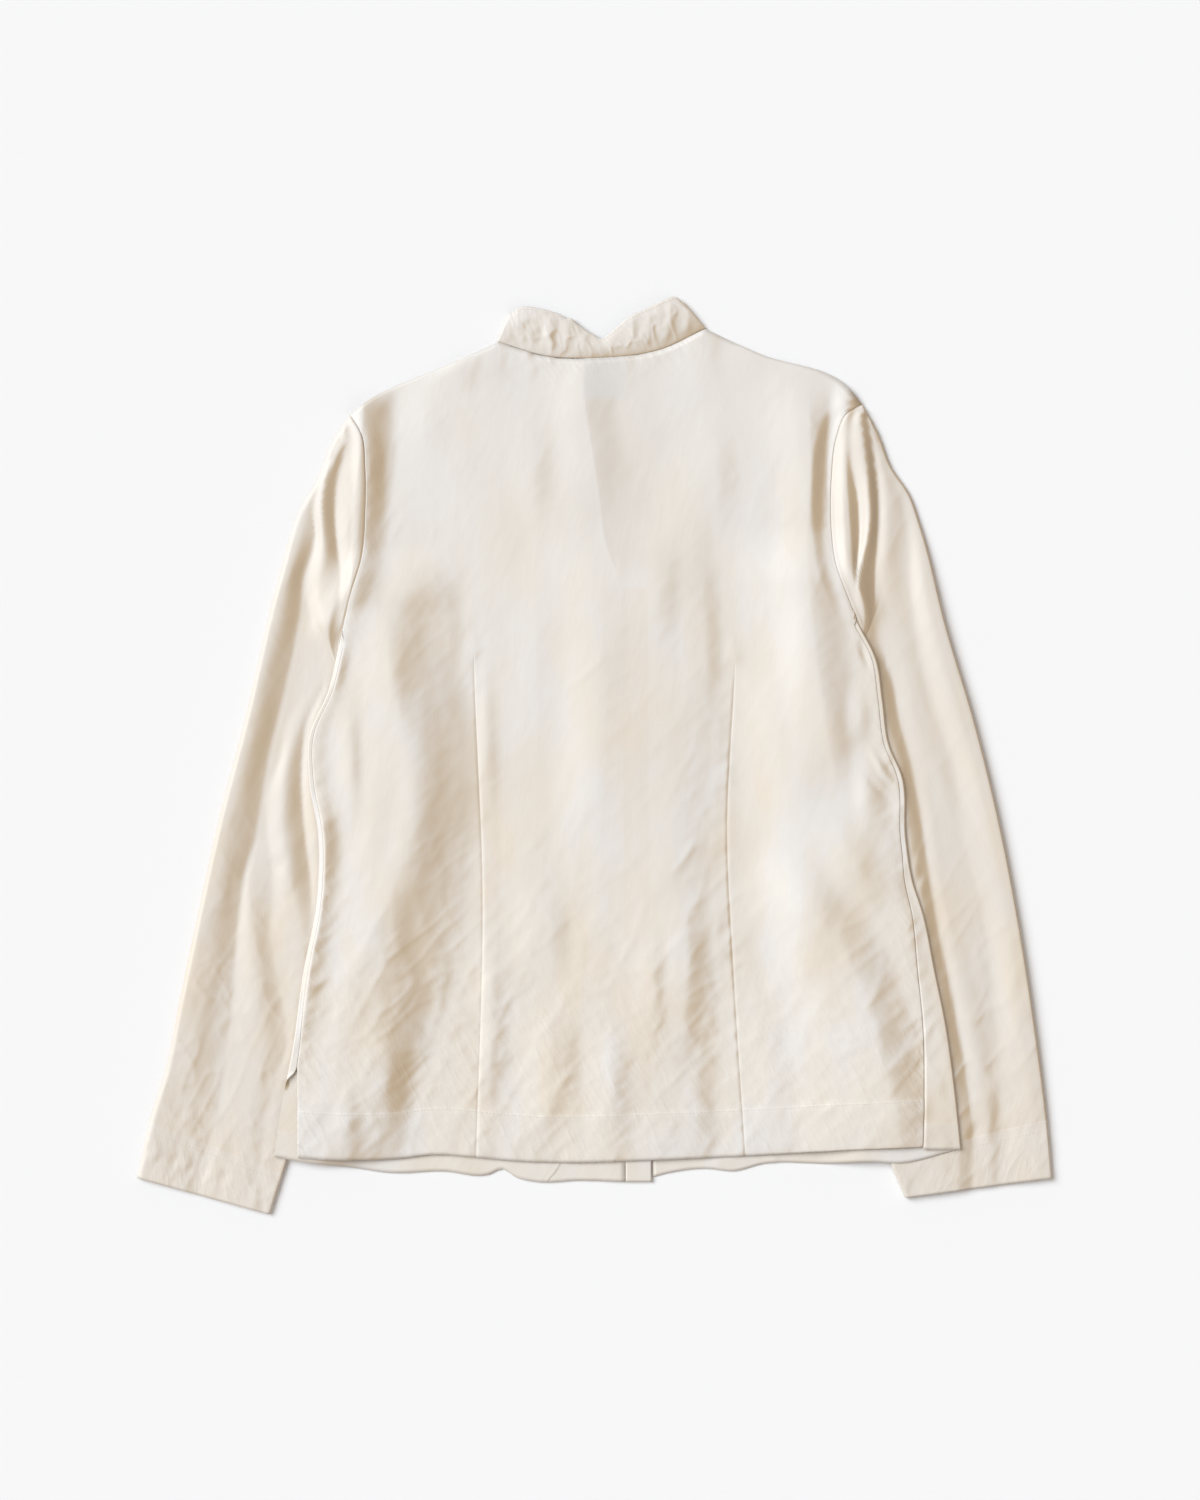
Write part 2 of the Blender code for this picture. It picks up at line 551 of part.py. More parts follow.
def sleeve_grid(side):
    """Build a sleeve: closed flat rings from the armhole to the cuff.

    A ring runs over the upper wall from the outer edge to the inner one and back along the
    lower wall. Its plan is the straight line across the sleeve plus the armhole's bow,
    which dies away down the sleeve.
    """
    t = np.linspace(0.0, 1.0, SLEEVE_RINGS + 1)
    outer = along(smooth_line(side.sleeve_outer), t)
    inner = along(smooth_line(side.sleeve_inner), t)
    width = np.linalg.norm(inner - outer, axis=1)
    place, height = ring_profile(width)
    share = place / width[:, None]
    armhole = along(armhole_line(side), np.clip(share[0], 0.0, 1.0))
    bow = armhole - (outer[0] + share[0][:, None] * (inner[0] - outer[0]))
    plan = outer[:, None, :] + share[..., None] * (inner - outer)[:, None, :]
    plan = plan + ((1.0 - t) ** 3)[:, None, None] * bow[None, :, :]
    x, y = plan[..., 0], plan[..., 1]
    above = y - underarm_y(side)
    clear = 0.5 * SEAM + CLEAR_GAIN * t
    x = round_the_underarm(side, x, y, clear)
    edge_x = x_at(body_edge(side), y)
    least = np.where(above > 0.0, clear[:, None], -np.inf)
    x = edge_x + side.sign * np.maximum(side.sign * (x - edge_x), least)
    rim_crest = x_at(smooth_line(side.sleeve_outer), y) - side.sign * RIM_INSET
    offset = side.sign * (rim_crest - x)
    reach = np.where(offset < 0.0, RIM_INSET, RIM_FALL)
    rim = RIM_HEIGHT * (0.5 + 0.5 * np.cos(np.pi * np.clip(offset / reach, -1.0, 1.0)))
    rim *= smoothstep(t, *RIM_START)[:, None]
    covered = 1.0 - smoothstep(side.sign * (x - edge_x), COVER_START, COVER_END)
    covered *= 1.0 - smoothstep(above, UNDERARM_HOLD, UNDERARM_END)
    folds = relief(SLEEVE_FOLDS, x, y) + relief(ARMHOLE_FOLDS, x, y)
    upper = FLOOR_PLY + LIFT + (1.0 - covered) * np.maximum(folds, rim)
    edge = FLOOR_PLY + FOLD_RADIUS
    z = np.where(height >= 0.0, edge + height * (upper - edge), edge + height * FOLD_RADIUS)
    return np.stack([x, y, z], axis=-1)


def collar_grid():
    """Build the stand: along the back neck, folded at both sides and under to the fronts."""
    neck_x = neck_columns()
    neck = border(smooth_line(NECK_BACK), neck_x)
    half = 0.5 * (neck[:-1] + neck[1:])
    back = np.empty((2 * len(neck) - 1, 2))
    back[0::2], back[1::2] = neck, half
    back[:, 1] += SEAM
    seam_z = FLOOR_PLY + LIFT
    free = smooth_line(COLLAR_FREE_EDGE)
    back_free = along(free, np.linspace(0.0, 1.0, len(back)))
    loop_seam, loop_free = [], []
    for side, corner in ((LEFT, 0), (RIGHT, -1)):
        neckline = front_neckline(side)
        rows = neckline[neckline[:, 1] > COLLAR_FRONT_END_Y]
        rows[:, 0] -= side.sign * SEAM
        tangent = np.gradient(rows, axis=0)
        tangent /= np.linalg.norm(tangent, axis=1)[:, None]
        inward = np.stack([-tangent[:, 1] * side.sign, tangent[:, 0] * side.sign], axis=-1)
        depth = np.interp(np.linspace(0.0, 1.0, len(rows)), np.linspace(0.0, 1.0, 4),
                          COLLAR_FRONT_HEIGHTS)
        free_rows = rows + inward * depth[:, None]
        free_rows[-1] = back_free[corner, :2]
        rows[-1] = back[corner]
        lower_seam = np.column_stack([rows, np.full(len(rows), FLOOR_PLY)])
        lower_free = np.column_stack([free_rows, np.full(len(rows), FLOOR_PLY)])
        turn_seam, turn_free = [], []
        for line, start, top in ((turn_seam, lower_seam[-1], seam_z),
                                 (turn_free, lower_free[-1], back_free[corner, 2])):
            radius = 0.5 * (top - FLOOR_PLY)
            for angle in np.radians(COLLAR_TURN):
                out = side.sign * radius * math.sin(angle)
                up = radius * (1.0 - math.cos(angle))
                line.append((start[0] + out, start[1], FLOOR_PLY + up))
        loop_seam.append(np.vstack([lower_seam, turn_seam]))
        loop_free.append(np.vstack([lower_free, turn_free]))
    back_seam = np.column_stack([back, np.full(len(back), seam_z)])
    seam = np.vstack([loop_seam[0], back_seam, loop_seam[1][::-1]])
    edge = np.vstack([loop_free[0], back_free, loop_free[1][::-1]])
    v = np.linspace(0.0, 1.0, COLLAR_ROWS + 1)[:, None, None]
    grid = (1 - v) * seam[None] + v * edge[None]
    upper = smoothstep(grid[..., 2], FLOOR_PLY + 1.0, FLOOR_PLY + LIFT)
    grid[..., 2] += COLLAR_CROWN * upper * np.sin(np.pi * v[..., 0])
    return grid


def label_grid():
    """Build the blank label under the back neck."""
    x = np.linspace(-0.5, 0.5, 3) * LABEL_WIDTH + LABEL_CENTRE[0]
    y = np.linspace(-0.5, 0.5, 3) * LABEL_LENGTH + LABEL_CENTRE[1]
    grid_y, grid_x = np.meshgrid(y, x, indexing="ij")
    return np.stack([grid_x, grid_y, np.full_like(grid_x, LABEL_Z)], axis=-1)


# --- Blender objects -------------------------------------------------------------------------

def clear_scene():
    """Remove every object of the scene."""
    for obj in list(bpy.data.objects):
        bpy.data.objects.remove(obj, do_unlink=True)


def principled(name, colour, roughness):
    """Make a plain material."""
    material = bpy.data.materials.new(name)
    material.use_nodes = True
    shader = material.node_tree.nodes["Principled BSDF"]
    shader.inputs["Base Color"].default_value = colour
    shader.inputs["Roughness"].default_value = roughness
    shader.inputs["Metallic"].default_value = 0.0
    return material


def cloth_object(name, grid, collection, parent, closed=False):
    """Shape a plane grid to the points, close it into a tube if asked, and thicken it."""
    rows, columns = grid.shape[:2]
    shape = bmesh.new()
    bmesh.ops.create_grid(shape, x_segments=columns - 1, y_segments=rows - 1, size=0.5)
    for vertex in shape.verts:
        column = round((vertex.co.x + 0.5) * (columns - 1))
        row = round((vertex.co.y + 0.5) * (rows - 1))
        vertex.co = [float(value) * MM for value in grid[row, column]]
    if closed:
        bmesh.ops.remove_doubles(shape, verts=shape.verts, dist=0.00001)
    mesh = bpy.data.meshes.new(name)
    shape.to_mesh(mesh)
    shape.free()
    mesh.shade_smooth()
    obj = bpy.data.objects.new(name, mesh)
    obj.data.materials.append(principled(name + "_silk", SILK, 0.45))
    wall = obj.modifiers.new("wall", "SOLIDIFY")
    wall.thickness = WALL * MM
    wall.offset = 0.0
    collection.objects.link(obj)
    obj.parent = parent
    return obj


def add_buttons(collection, parent):
    """Set the buttons down the right placket, each between the cloth and the surface."""
    bpy.ops.mesh.primitive_cylinder_add(
        vertices=20, radius=0.5 * BUTTON_DIAMETER * MM, depth=BUTTON_THICKNESS * MM)
    pattern = bpy.context.object
    pearl = principled("button_pearl", PEARL, 0.25)
    pattern.data.materials.append(pearl)
    pattern.data.shade_smooth()
    pattern.data.set_sharp_from_angle(angle=math.radians(40.0))
    for k in range(BUTTON_COUNT):
        y = FIRST_BUTTON_Y - k * BUTTON_PITCH
        x = float(placket_edge_x(y)) + 0.5 * PLACKET_WIDTH
        button = bpy.data.objects.new(f"button_{k + 1}", pattern.data)
        button.location = (x * MM, y * MM, 0.5 * BUTTON_THICKNESS * MM)
        rim = button.modifiers.new("rim", "BEVEL")
        rim.width = 0.25 * MM
        rim.segments = 1
        collection.objects.link(button)
        button.parent = parent
    bpy.data.objects.remove(pattern, do_unlink=True)


def main():
    """Build the blouse, one object for each cut piece."""
    clear_scene()
    collection = bpy.data.collections.new("silk_blouse")
    bpy.context.scene.collection.children.link(collection)
    blouse = bpy.data.objects.new("silk_blouse", None)
    collection.objects.link(blouse)
    cloth_object("back", back_grid(), collection, blouse)
    for side, name in ((LEFT, "left"), (RIGHT, "right")):
        cloth_object("front_" + name, front_grid(side), collection, blouse)
        cloth_object("placket_" + name, placket_grid(side), collection, blouse)
        sleeve = sleeve_grid(side)
        ring = np.concatenate([sleeve, sleeve[:, :1]], axis=1)
        cloth_object("sleeve_" + name, ring, collection, blouse, closed=True)
    cloth_object("collar", collar_grid(), collection, blouse)
    cloth_object("neck_label", label_grid(), collection, blouse)
    add_buttons(collection, blouse)


main()
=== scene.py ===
"""Finish of a cream silk blouse that lies on its front, with its back panel up.

Every cut piece is a thin cloth surface worked out from its outline, the layer it lies on and
its creases, and it stands for the solid wall of the same name. Sizes are in millimetres and
the meshes are made in metres. +Y runs from the hem to the collar, +X toward the wearer's right
sleeve and +Z up from the surface. The light comes from the upper left, so a ridge is bright on
its left and dark on its right.
"""

from __future__ import annotations

import logging
import math
from dataclasses import dataclass, field
from enum import Enum

import bpy
import numpy as np
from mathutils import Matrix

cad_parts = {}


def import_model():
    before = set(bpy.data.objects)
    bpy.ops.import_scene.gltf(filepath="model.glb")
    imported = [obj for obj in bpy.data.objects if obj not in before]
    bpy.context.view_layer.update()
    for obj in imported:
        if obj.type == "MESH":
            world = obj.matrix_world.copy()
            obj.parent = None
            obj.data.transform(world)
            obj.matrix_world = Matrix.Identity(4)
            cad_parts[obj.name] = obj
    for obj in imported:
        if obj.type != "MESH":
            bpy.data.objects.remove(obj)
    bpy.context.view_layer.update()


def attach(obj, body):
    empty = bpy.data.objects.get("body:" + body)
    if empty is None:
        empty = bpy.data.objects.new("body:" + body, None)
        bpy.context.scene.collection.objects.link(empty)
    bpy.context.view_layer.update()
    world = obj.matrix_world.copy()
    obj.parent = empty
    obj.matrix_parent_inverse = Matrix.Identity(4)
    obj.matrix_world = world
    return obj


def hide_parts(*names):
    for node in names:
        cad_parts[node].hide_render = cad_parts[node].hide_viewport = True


Array = np.ndarray
Points = tuple[tuple[float, float], ...]
Rows = tuple[tuple[float, float, float], ...]

LOG = logging.getLogger("silk_blouse")
MM = 0.001

# --- Cloth ---
THREAD_WALL = 0.45      # thickness of the cloth shown, with its turned edges
SEAM = 0.12             # clear gap in plan between two pieces sewn edge to edge
FLOOR_PLY = 0.5         # mid-surface of a wall that lies on the surface
FOLD_RADIUS = 0.95      # of a wall folded back on itself, to its mid-surface
LIFT = 2.0 * FOLD_RADIUS
PRESSED = 1.3           # between the mid-surfaces of two walls pressed together
AIR = 0.8               # extra height of the back panel over its middle

# --- Body ---
TUCK_RISE = 5.4         # of the body over a sleeve's tucked inner edge
TUCK_FLAT = 18.0        # it is full this far in from that edge
TUCK_END = 58.0         # and gone this far in
BACK_SPARE = 12.0       # the back falls this much further in than the fronts
BACK_FALL = 2.6         # and its fall is longer by this many times as much
UNDERARM_HOLD = 32.0    # it is full up to this height above the underarm
UNDERARM_END = 78.0     # and gone at this one
SHOULDER_PRESS = (0.93, 1.0)    # share of the side's height where the shoulder is pressed
NECK_RELEASE = 15.0     # width beside the neck over which that starts
FLAT_LIP = 0.8          # width of a front's lip where it is not folded over

# --- Placket and buttons ---
BUTTON_DIAMETER = 10.0
BUTTON_THICKNESS = 1.2
BUTTON_COUNT = 6
BUTTON_PITCH = 75.0
FIRST_BUTTON_Y = 112.0
BUTTON_LIFT = BUTTON_THICKNESS + 0.3
PLACKET_TOP_Y = 129.0
PLACKET_LEFT_X = (24.0, 21.0)
PLACKET_WIDTH = 20.0
PLACKET_HEM_Y = -328.0
RIGHT_HEM_STEP = 4.0    # the right placket ends this much higher
BACK_BUMP = 2.0         # of the back over the placket
BACK_BUMP_HALF = 23.0
BACK_BUMP_FADE = 45.0

# --- Sleeves ---
CLEAR_GAIN = 45.0       # extra room a ring leaves at the underarm, times its share of the length
CLEAR_FADE = 60.0       # height above the underarm over which the rings bend out
COVER_START = 1.0       # outside the side edge a sleeve comes out from under the body here
COVER_END = 7.0         # and is clear of it here

# --- Painted shade ---
AWAY_FROM_LIGHT = (0.87, -0.5)     # direction of the slopes that take painted shade, away from the light
# painted shade: the share of the deeper colour at full strength, and the slope that reaches it
FULL_PAINTED_SHADE = 0.95
PAINTED_SHADE_SLOPE = 0.26

# --- Outlines, each a table with columns (x, y) ---
SHOULDER_LEFT: Points = ((-188, 262), (-171, 275), (-119, 298), (-74, 318))
NECK_BACK: Points = ((-74, 318), (-36, 307), (4, 306), (50, 312), (85, 328))
SHOULDER_RIGHT: Points = ((85, 328), (127, 309), (193, 285), (206, 270))
BACK_HEM: Points = ((-228, -309), (-187, -311), (-151, -310), (-125, -307), (-91, -309), (-72, -311),
                    (-36, -313), (20, -312), (46, -311), (116, -308), (150, -306), (192, -303),
                    (251, -300))
FRONT_HEM_LEFT: Points = ((-246, -308), (-226, -312), (-187, -317), (-160, -321), (-116, -320), (-80, -322),
                          (-72, -318), (-60, -325), (-46, -328), (-10, -327), (24, -328))
FRONT_HEM_RIGHT: Points = ((43, -325), (58, -321), (89, -318), (105, -320), (131, -314), (180, -314),
                           (214, -312), (232, -313), (281, -302))
DART_LEFT: Points = ((-91, -309), (-86, -107), (-93, 81), (-93, 310))
DART_RIGHT: Points = ((116, -308), (107, -168), (102, -60), (108, 70), (108, 317))
DART_TIP_LEFT_Y = 80.0
DART_TIP_RIGHT_Y = 72.0
NECKLINE_LEFT: Points = ((21, 129), (4, 197), (-3, 243), (-27, 256), (-57, 285), (-74, 318))
NECKLINE_RIGHT: Points = ((41, 129), (47, 189), (57, 243), (74, 270), (83, 297), (85, 328))


class Slot(Enum):
    """Names of three material slots."""

    SILK = "silk"
    LABEL = "label"
    BUTTON = "button"


# --- Curves ---

def smoothstep(value: Array, start: float | Array, end: float) -> Array:
    """Rise smoothly from 0 at start to 1 at end, as 3t^2 - 2t^3."""
    part = np.clip((value - start) / (end - start), 0.0, 1.0)
    return part * part * (3.0 - 2.0 * part)


def smooth_line(points: Points, per_span: int = 12) -> Array:
    """Return a dense smooth curve through points.

    Each span is a cubic whose end slopes are the mean slopes at its two knots.

    Args:
        points: Knots with columns (x, y, ...).
        per_span: Steps in each span.

    Returns:
        The curve's points, (steps + 1, columns).
    """
    knots = np.array(points, dtype=float)
    lengths = np.linalg.norm(np.diff(knots[:, :2], axis=0), axis=1)
    station = np.concatenate(([0.0], np.cumsum(lengths)))
    if len(knots) == 2:
        slopes = np.repeat(np.diff(knots, axis=0) / lengths[0], 2, axis=0)
    else:
        slopes = np.gradient(knots, station, axis=0)
    dense = np.linspace(0.0, station[-1], per_span * len(lengths) + 1)
    span = np.clip(np.searchsorted(station, dense, side="right") - 1, 0, len(lengths) - 1)
    step = lengths[span][:, None]
    part = ((dense - station[span]) / lengths[span])[:, None]
    start_weight = 2 * part**3 - 3 * part**2 + 1
    curve = start_weight * knots[span] + (1 - start_weight) * knots[span + 1]
    curve += step * (part**3 - 2 * part**2 + part) * slopes[span]
    curve += step * (part**3 - part**2) * slopes[span + 1]
    return curve


def x_at(line: Array, y: Array) -> Array:
    """Read a curve's x at the height y."""
    order = np.argsort(line[:, 1], kind="stable")
    return np.interp(y, line[order, 1], line[order, 0])


def y_at(line: Array, x: Array) -> Array:
    """Read a curve's y at the place x."""
    order = np.argsort(line[:, 0], kind="stable")
    return np.interp(x, line[order, 0], line[order, 1])


def along(line: Array, fractions: Array) -> Array:
    """Read points at fractions of a curve's length."""
    lengths = np.linalg.norm(np.diff(line[:, :2], axis=0), axis=1)
    station = np.concatenate(([0.0], np.cumsum(lengths)))
    place = np.asarray(fractions) * station[-1]
    return np.stack([np.interp(place, station, line[:, k]) for k in range(line.shape[1])], axis=-1)


def border(line: Array, x: Array) -> Array:
    """Return the points of a border at the given x."""
    return np.stack([x, y_at(line, x)], axis=-1)


def nearest(line: Array, x: Array, y: Array) -> tuple[Array, Array]:
    """Find each point's place beside a curve.

    Args:
        line: The curve's points, (n, 2).
        x: Plan coordinates.
        y: Plan coordinates.

    Returns:
        The distance, positive on the left of the curve's direction, and the length along the
        curve to the closest point.
    """
    best = np.full(x.shape, np.inf)
    signed = np.zeros(x.shape)
    station = np.zeros(x.shape)
    run = 0.0
    for start, end in zip(line[:-1], line[1:]):
        span = end - start
        length = float(np.hypot(*span))
        if length < 1e-6:
            continue
        across_x, across_y = span / length
        from_x, from_y = x - start[0], y - start[1]
        place = np.clip(from_x * across_x + from_y * across_y, 0.0, length)
        gap = np.hypot(from_x - place * across_x, from_y - place * across_y)
        closer = gap < best
        turn = across_x * from_y - across_y * from_x
        best = np.where(closer, gap, best)
        signed = np.where(closer, np.where(turn >= 0.0, gap, -gap), signed)
        station = np.where(closer, run + place, station)
        run += length
    return signed, station


# --- Creases ---

def value_noise(x: Array, y: Array, seed: int) -> Array:
    """Return smooth noise from -1 to 1 with features one unit wide.

    Random values on a unit square lattice are joined by quintic weights.
    """
    table = np.random.default_rng(seed).uniform(-1.0, 1.0, (128, 128))
    cell_x, cell_y = np.floor(x).astype(int), np.floor(y).astype(int)
    part_x, part_y = x - cell_x, y - cell_y
    weight_x = part_x**3 * (part_x * (part_x * 6.0 - 15.0) + 10.0)
    weight_y = part_y**3 * (part_y * (part_y * 6.0 - 15.0) + 10.0)

    def corner(step_x: int, step_y: int) -> Array:
        return table[(cell_x + step_x) % 128, (cell_y + step_y) % 128]

    low = corner(0, 0) * (1.0 - weight_x) + corner(1, 0) * weight_x
    high = corner(0, 1) * (1.0 - weight_x) + corner(1, 1) * weight_x
    return low * (1.0 - weight_y) + high * weight_y


def grain_noise(x: Array, y: Array, width: float, length: float, lean: float, seed: int) -> Array:
    """Return noise stretched along one direction.

    Args:
        x: Plan coordinates.
        y: Plan coordinates.
        width: Feature size across the grain.
        length: Feature size along the grain.
        lean: Angle of the grain from +Y toward +X, in degrees.
        seed: Seed of the random values.

    Returns:
        Two octaves of value noise, from about -1 to 1.
    """
    turn = math.radians(lean)
    across = x * math.cos(turn) - y * math.sin(turn)
    down = x * math.sin(turn) + y * math.cos(turn)
    first = value_noise(across / width, down / length, seed)
    second = value_noise(across / (0.47 * width), down / (0.47 * length), seed + 1)
    return (first + 0.5 * second) / 1.2


def ridged(noise: Array) -> Array:
    """Turn noise into thin ridges: 1 where it passes zero, falling off on both sides."""
    return (1.0 - np.minimum(1.0, np.abs(noise) * 1.6)) ** 2


@dataclass(frozen=True)
class Fold:
    """One ridge, or a trough where its height is negative.

    Its section is a raised cosine, sharpened toward (1 - q)^2 by crease, where q is the share
    of the reach on that side. It fades out over fade at both ends. Left and right are as seen
    with the line running up the page, or to the right if it is nearer level; then left is its
    upper side.
    """

    line: Points
    height: float
    left: float
    right: float
    crease: float = 0.25
    fade: float = 60.0

    def relief(self, x: Array, y: Array) -> Array:
        """Return the fold's height at each point."""
        line = smooth_line(self.line, 6)[:, :2]
        run = line[-1] - line[0]
        forward = run[1] > 0.0 if abs(run[1]) >= abs(run[0]) else run[0] > 0.0
        if not forward:
            line = line[::-1]
        reach = max(self.left, self.right)
        low, high = line.min(axis=0) - reach, line.max(axis=0) + reach
        near = (x > low[0]) & (x < high[0]) & (y > low[1]) & (y < high[1])
        total = np.zeros_like(x)
        signed, station = nearest(line, x[near], y[near])
        share = np.abs(signed) / np.where(signed >= 0.0, self.left, self.right)
        share = np.minimum(share, 1.0)
        soft = 0.5 + 0.5 * np.cos(np.pi * share)
        section = (1.0 - self.crease) * soft + self.crease * (1.0 - share) ** 2
        length = float(np.linalg.norm(np.diff(line, axis=0), axis=1).sum())
        fade = min(self.fade, 0.5 * length)
        ends = smoothstep(station, 0.0, fade) * (1.0 - smoothstep(station, length - fade, length))
        total[near] = self.height * section * ends
        return total


@dataclass(frozen=True)
class Puckers:
    """Short uneven ripples that run out from a seam and die away.

    The height is noise along the seam, one ripple a pitch, leaning by lean millimetres for
    each millimetre out, times exp(-distance / reach).
    """

    line: Points
    height: float
    pitch: float
    reach: float
    seed: int
    lean: float = 0.0

    def relief(self, x: Array, y: Array) -> Array:
        """Return the ripples' height at each point."""
        line = smooth_line(self.line, 6)[:, :2]
        low, high = line.min(axis=0) - 4.0 * self.reach, line.max(axis=0) + 4.0 * self.reach
        near = (x > low[0]) & (x < high[0]) & (y > low[1]) & (y < high[1])
        total = np.zeros_like(x)
        signed, station = nearest(line, x[near], y[near])
        away = np.abs(signed)
        place = (station + self.lean * away) / self.pitch
        ripple = value_noise(place, 0.35 * away / self.pitch, self.seed)
        strength = 0.6 + 0.4 * value_noise(place / 4.0, np.zeros_like(place), self.seed + 7)
        length = float(np.linalg.norm(np.diff(line, axis=0), axis=1).sum())
        ends = smoothstep(station, 0.0, 10.0) * (1.0 - smoothstep(station, length - 10.0, length))
        total[near] = self.height * ripple * strength * np.exp(-away / self.reach) * ends
        return total


@dataclass(frozen=True)
class Guide:
    """A crest or valley line that runs the length of a piece.

    Rows are (x, y, z above the wall's own level). Crease is how straight the wall runs up to
    it: 0 rounds it, 1 leaves it a corner.
    """

    rows: Rows
    crease: float = 0.0


def between_guides(guides: tuple[Guide, ...], x: Array, y: Array) -> Array:
    """Join guide lines, listed from left to right, into one surface.

    Between two guides the height follows a cubic of the share of the way across, whose end
    slopes are the guides' creases times the straight slope.
    """
    lines = [smooth_line(guide.rows) for guide in guides]
    places = [x_at(line, y) for line in lines]
    heights = [np.interp(y, line[::-1, 1], line[::-1, 2]) for line in lines]
    total = np.where(x < places[0], heights[0], heights[-1])
    for k in range(len(guides) - 1):
        gap = np.maximum(places[k + 1] - places[k], 1e-6)
        share = (x - places[k]) / gap
        inside = (share >= 0.0) & (share <= 1.0)
        part = np.clip(share, 0.0, 1.0)
        rise = part * part * (3.0 - 2.0 * part)
        rise += guides[k].crease * (part**3 - 2.0 * part**2 + part)
        rise += guides[k + 1].crease * (part**3 - part**2)
        total = np.where(inside, heights[k] + (heights[k + 1] - heights[k]) * rise, total)
    return total


# --- The garment's halves ---

@dataclass(frozen=True)
class Half:
    """One half of the garment: its outlines with columns (x, y) and its side seam."""

    name: str
    sign: int
    armhole: Points
    edge: Points
    seam: Points
    roll: Points
    sleeve_outer: Points
    sleeve_inner: Points
    rim_width: float

    @property
    def underarm_y(self) -> float:
        """Height of the underarm point."""
        return self.edge[0][1]

    def outline(self) -> Array:
        """Return the armhole and the silhouette of the body as one curve."""
        return np.vstack([smooth_line(self.armhole), smooth_line(self.edge)])

    def edge_x(self, y: Array) -> Array:
        """Return the x of the armhole or of the body's silhouette at a height."""
        return x_at(self.outline(), y)

    def side_heights(self, body_rows: int, armhole_rows: int) -> Array:
        """Return the y of each row, from the hem past the underarm to the shoulder tip."""
        hem, tip = self.edge[-1][1], self.armhole[0][1]
        lower = np.linspace(hem, self.underarm_y, body_rows + 1)
        upper = np.linspace(self.underarm_y, tip, armhole_rows + 1)
        return np.concatenate([lower, upper[1:]])


LEFT = Half(
    name="left",
    sign=-1,
    armhole=((-188, 262), (-179, 247), (-176, 220), (-176, 190), (-179, 151), (-188, 120), (-196, 85)),
    edge=((-196, 85), (-204, 50), (-219, 14), (-219, -19), (-212, -60), (-213, -111),
          (-224, -170), (-232, -228), (-240, -267), (-246, -308)),
    seam=((-308, 18.0), (-267, 12.0), (-237, 5.5), (-194, 3.5), (60, 3.0), (85, 3.6), (100, 1.0)),
    roll=((-308, 0.0), (-256, 0.0), (-244, 1.0), (88, 1.0), (100, 0.0)),
    sleeve_outer=((-188, 262), (-203, 238), (-213, 212), (-226, 190), (-241, 143), (-269, 27),
                  (-289, -50), (-306, -127), (-319, -188), (-330, -242), (-342, -281), (-352, -325)),
    sleeve_inner=((-196, 85), (-181, 43), (-171, -34), (-181, -111), (-198, -188), (-223, -265),
                  (-237, -312), (-250, -353)),
    rim_width=4.5,
)
RIGHT = Half(
    name="right",
    sign=1,
    armhole=((206, 270), (193, 262), (186, 245), (182, 212), (182, 175), (185, 148), (195, 120),
             (203, 100)),
    edge=((203, 100), (216, 74), (221, 43), (226, 8), (236, -16), (239, -64), (244, -96),
          (252, -121), (261, -165), (269, -204), (277, -262), (281, -302)),
    seam=((-302, 29.0), (-262, 24.0), (-222, 19.0), (-137, 10.0), (-77, 4.0), (75, 3.0),
          (100, 3.6), (115, 1.0)),
    roll=((-302, 1.0), (103, 1.0), (115, 0.0)),
    sleeve_outer=((206, 270), (218, 248), (228, 222), (242, 201), (251, 176), (270, 101), (292, 27),
                  (311, -50), (326, -127), (338, -204), (348, -281), (352, -325)),
    sleeve_inner=((203, 100), (189, 43), (197, -34), (206, -111), (214, -188), (221, -265),
                  (228, -314), (239, -340)),
    rim_width=1.8,
)
HALVES = (LEFT, RIGHT)


def tuck_rise(x: Array, y: Array, spare: float = 0.0) -> Array:
    """Return how much the body rises over the tucked inner edges of both sleeves.

    Spare is how much further in the rise stays full; its fall is longer too.
    """
    total = np.zeros_like(x)
    for half in HALVES:
        sleeve_edge = np.vstack([smooth_line(half.armhole), smooth_line(half.sleeve_inner)])
        middle = sum(x_at(sleeve_edge, y + step) for step in (-24.0, -12.0, 0.0, 12.0, 24.0)) / 5.0
        inside = half.sign * (middle - x)
        across = 1.0 - smoothstep(inside, TUCK_FLAT + spare, TUCK_END + BACK_FALL * spare)
        above = y - half.underarm_y
        total += TUCK_RISE * across * (1.0 - smoothstep(above, UNDERARM_HOLD, UNDERARM_END))
    return total


def placket_edge_x(y: Array) -> Array:
    """Return the x of the placket's left edge at a height."""
    return np.interp(y, (PLACKET_HEM_Y, PLACKET_TOP_Y), PLACKET_LEFT_X)


def placket_lift(half: Half, y: Array) -> Array:
    """Return how high a placket lies over its buttons and, on the left, over the other one."""
    last_button_y = FIRST_BUTTON_Y - (BUTTON_COUNT - 1) * BUTTON_PITCH
    hem_end = smoothstep(y, PLACKET_HEM_Y + 8.0, last_button_y - 18.0)
    top_end = 1.0 - smoothstep(y, PLACKET_TOP_Y - 8.0, PLACKET_TOP_Y + 30.0)
    overlap = PRESSED if half.sign < 0 else 0.0
    released = 1.0 - smoothstep(y, PLACKET_TOP_Y, PLACKET_TOP_Y + 35.0)
    return BUTTON_LIFT * hem_end * top_end + overlap * released


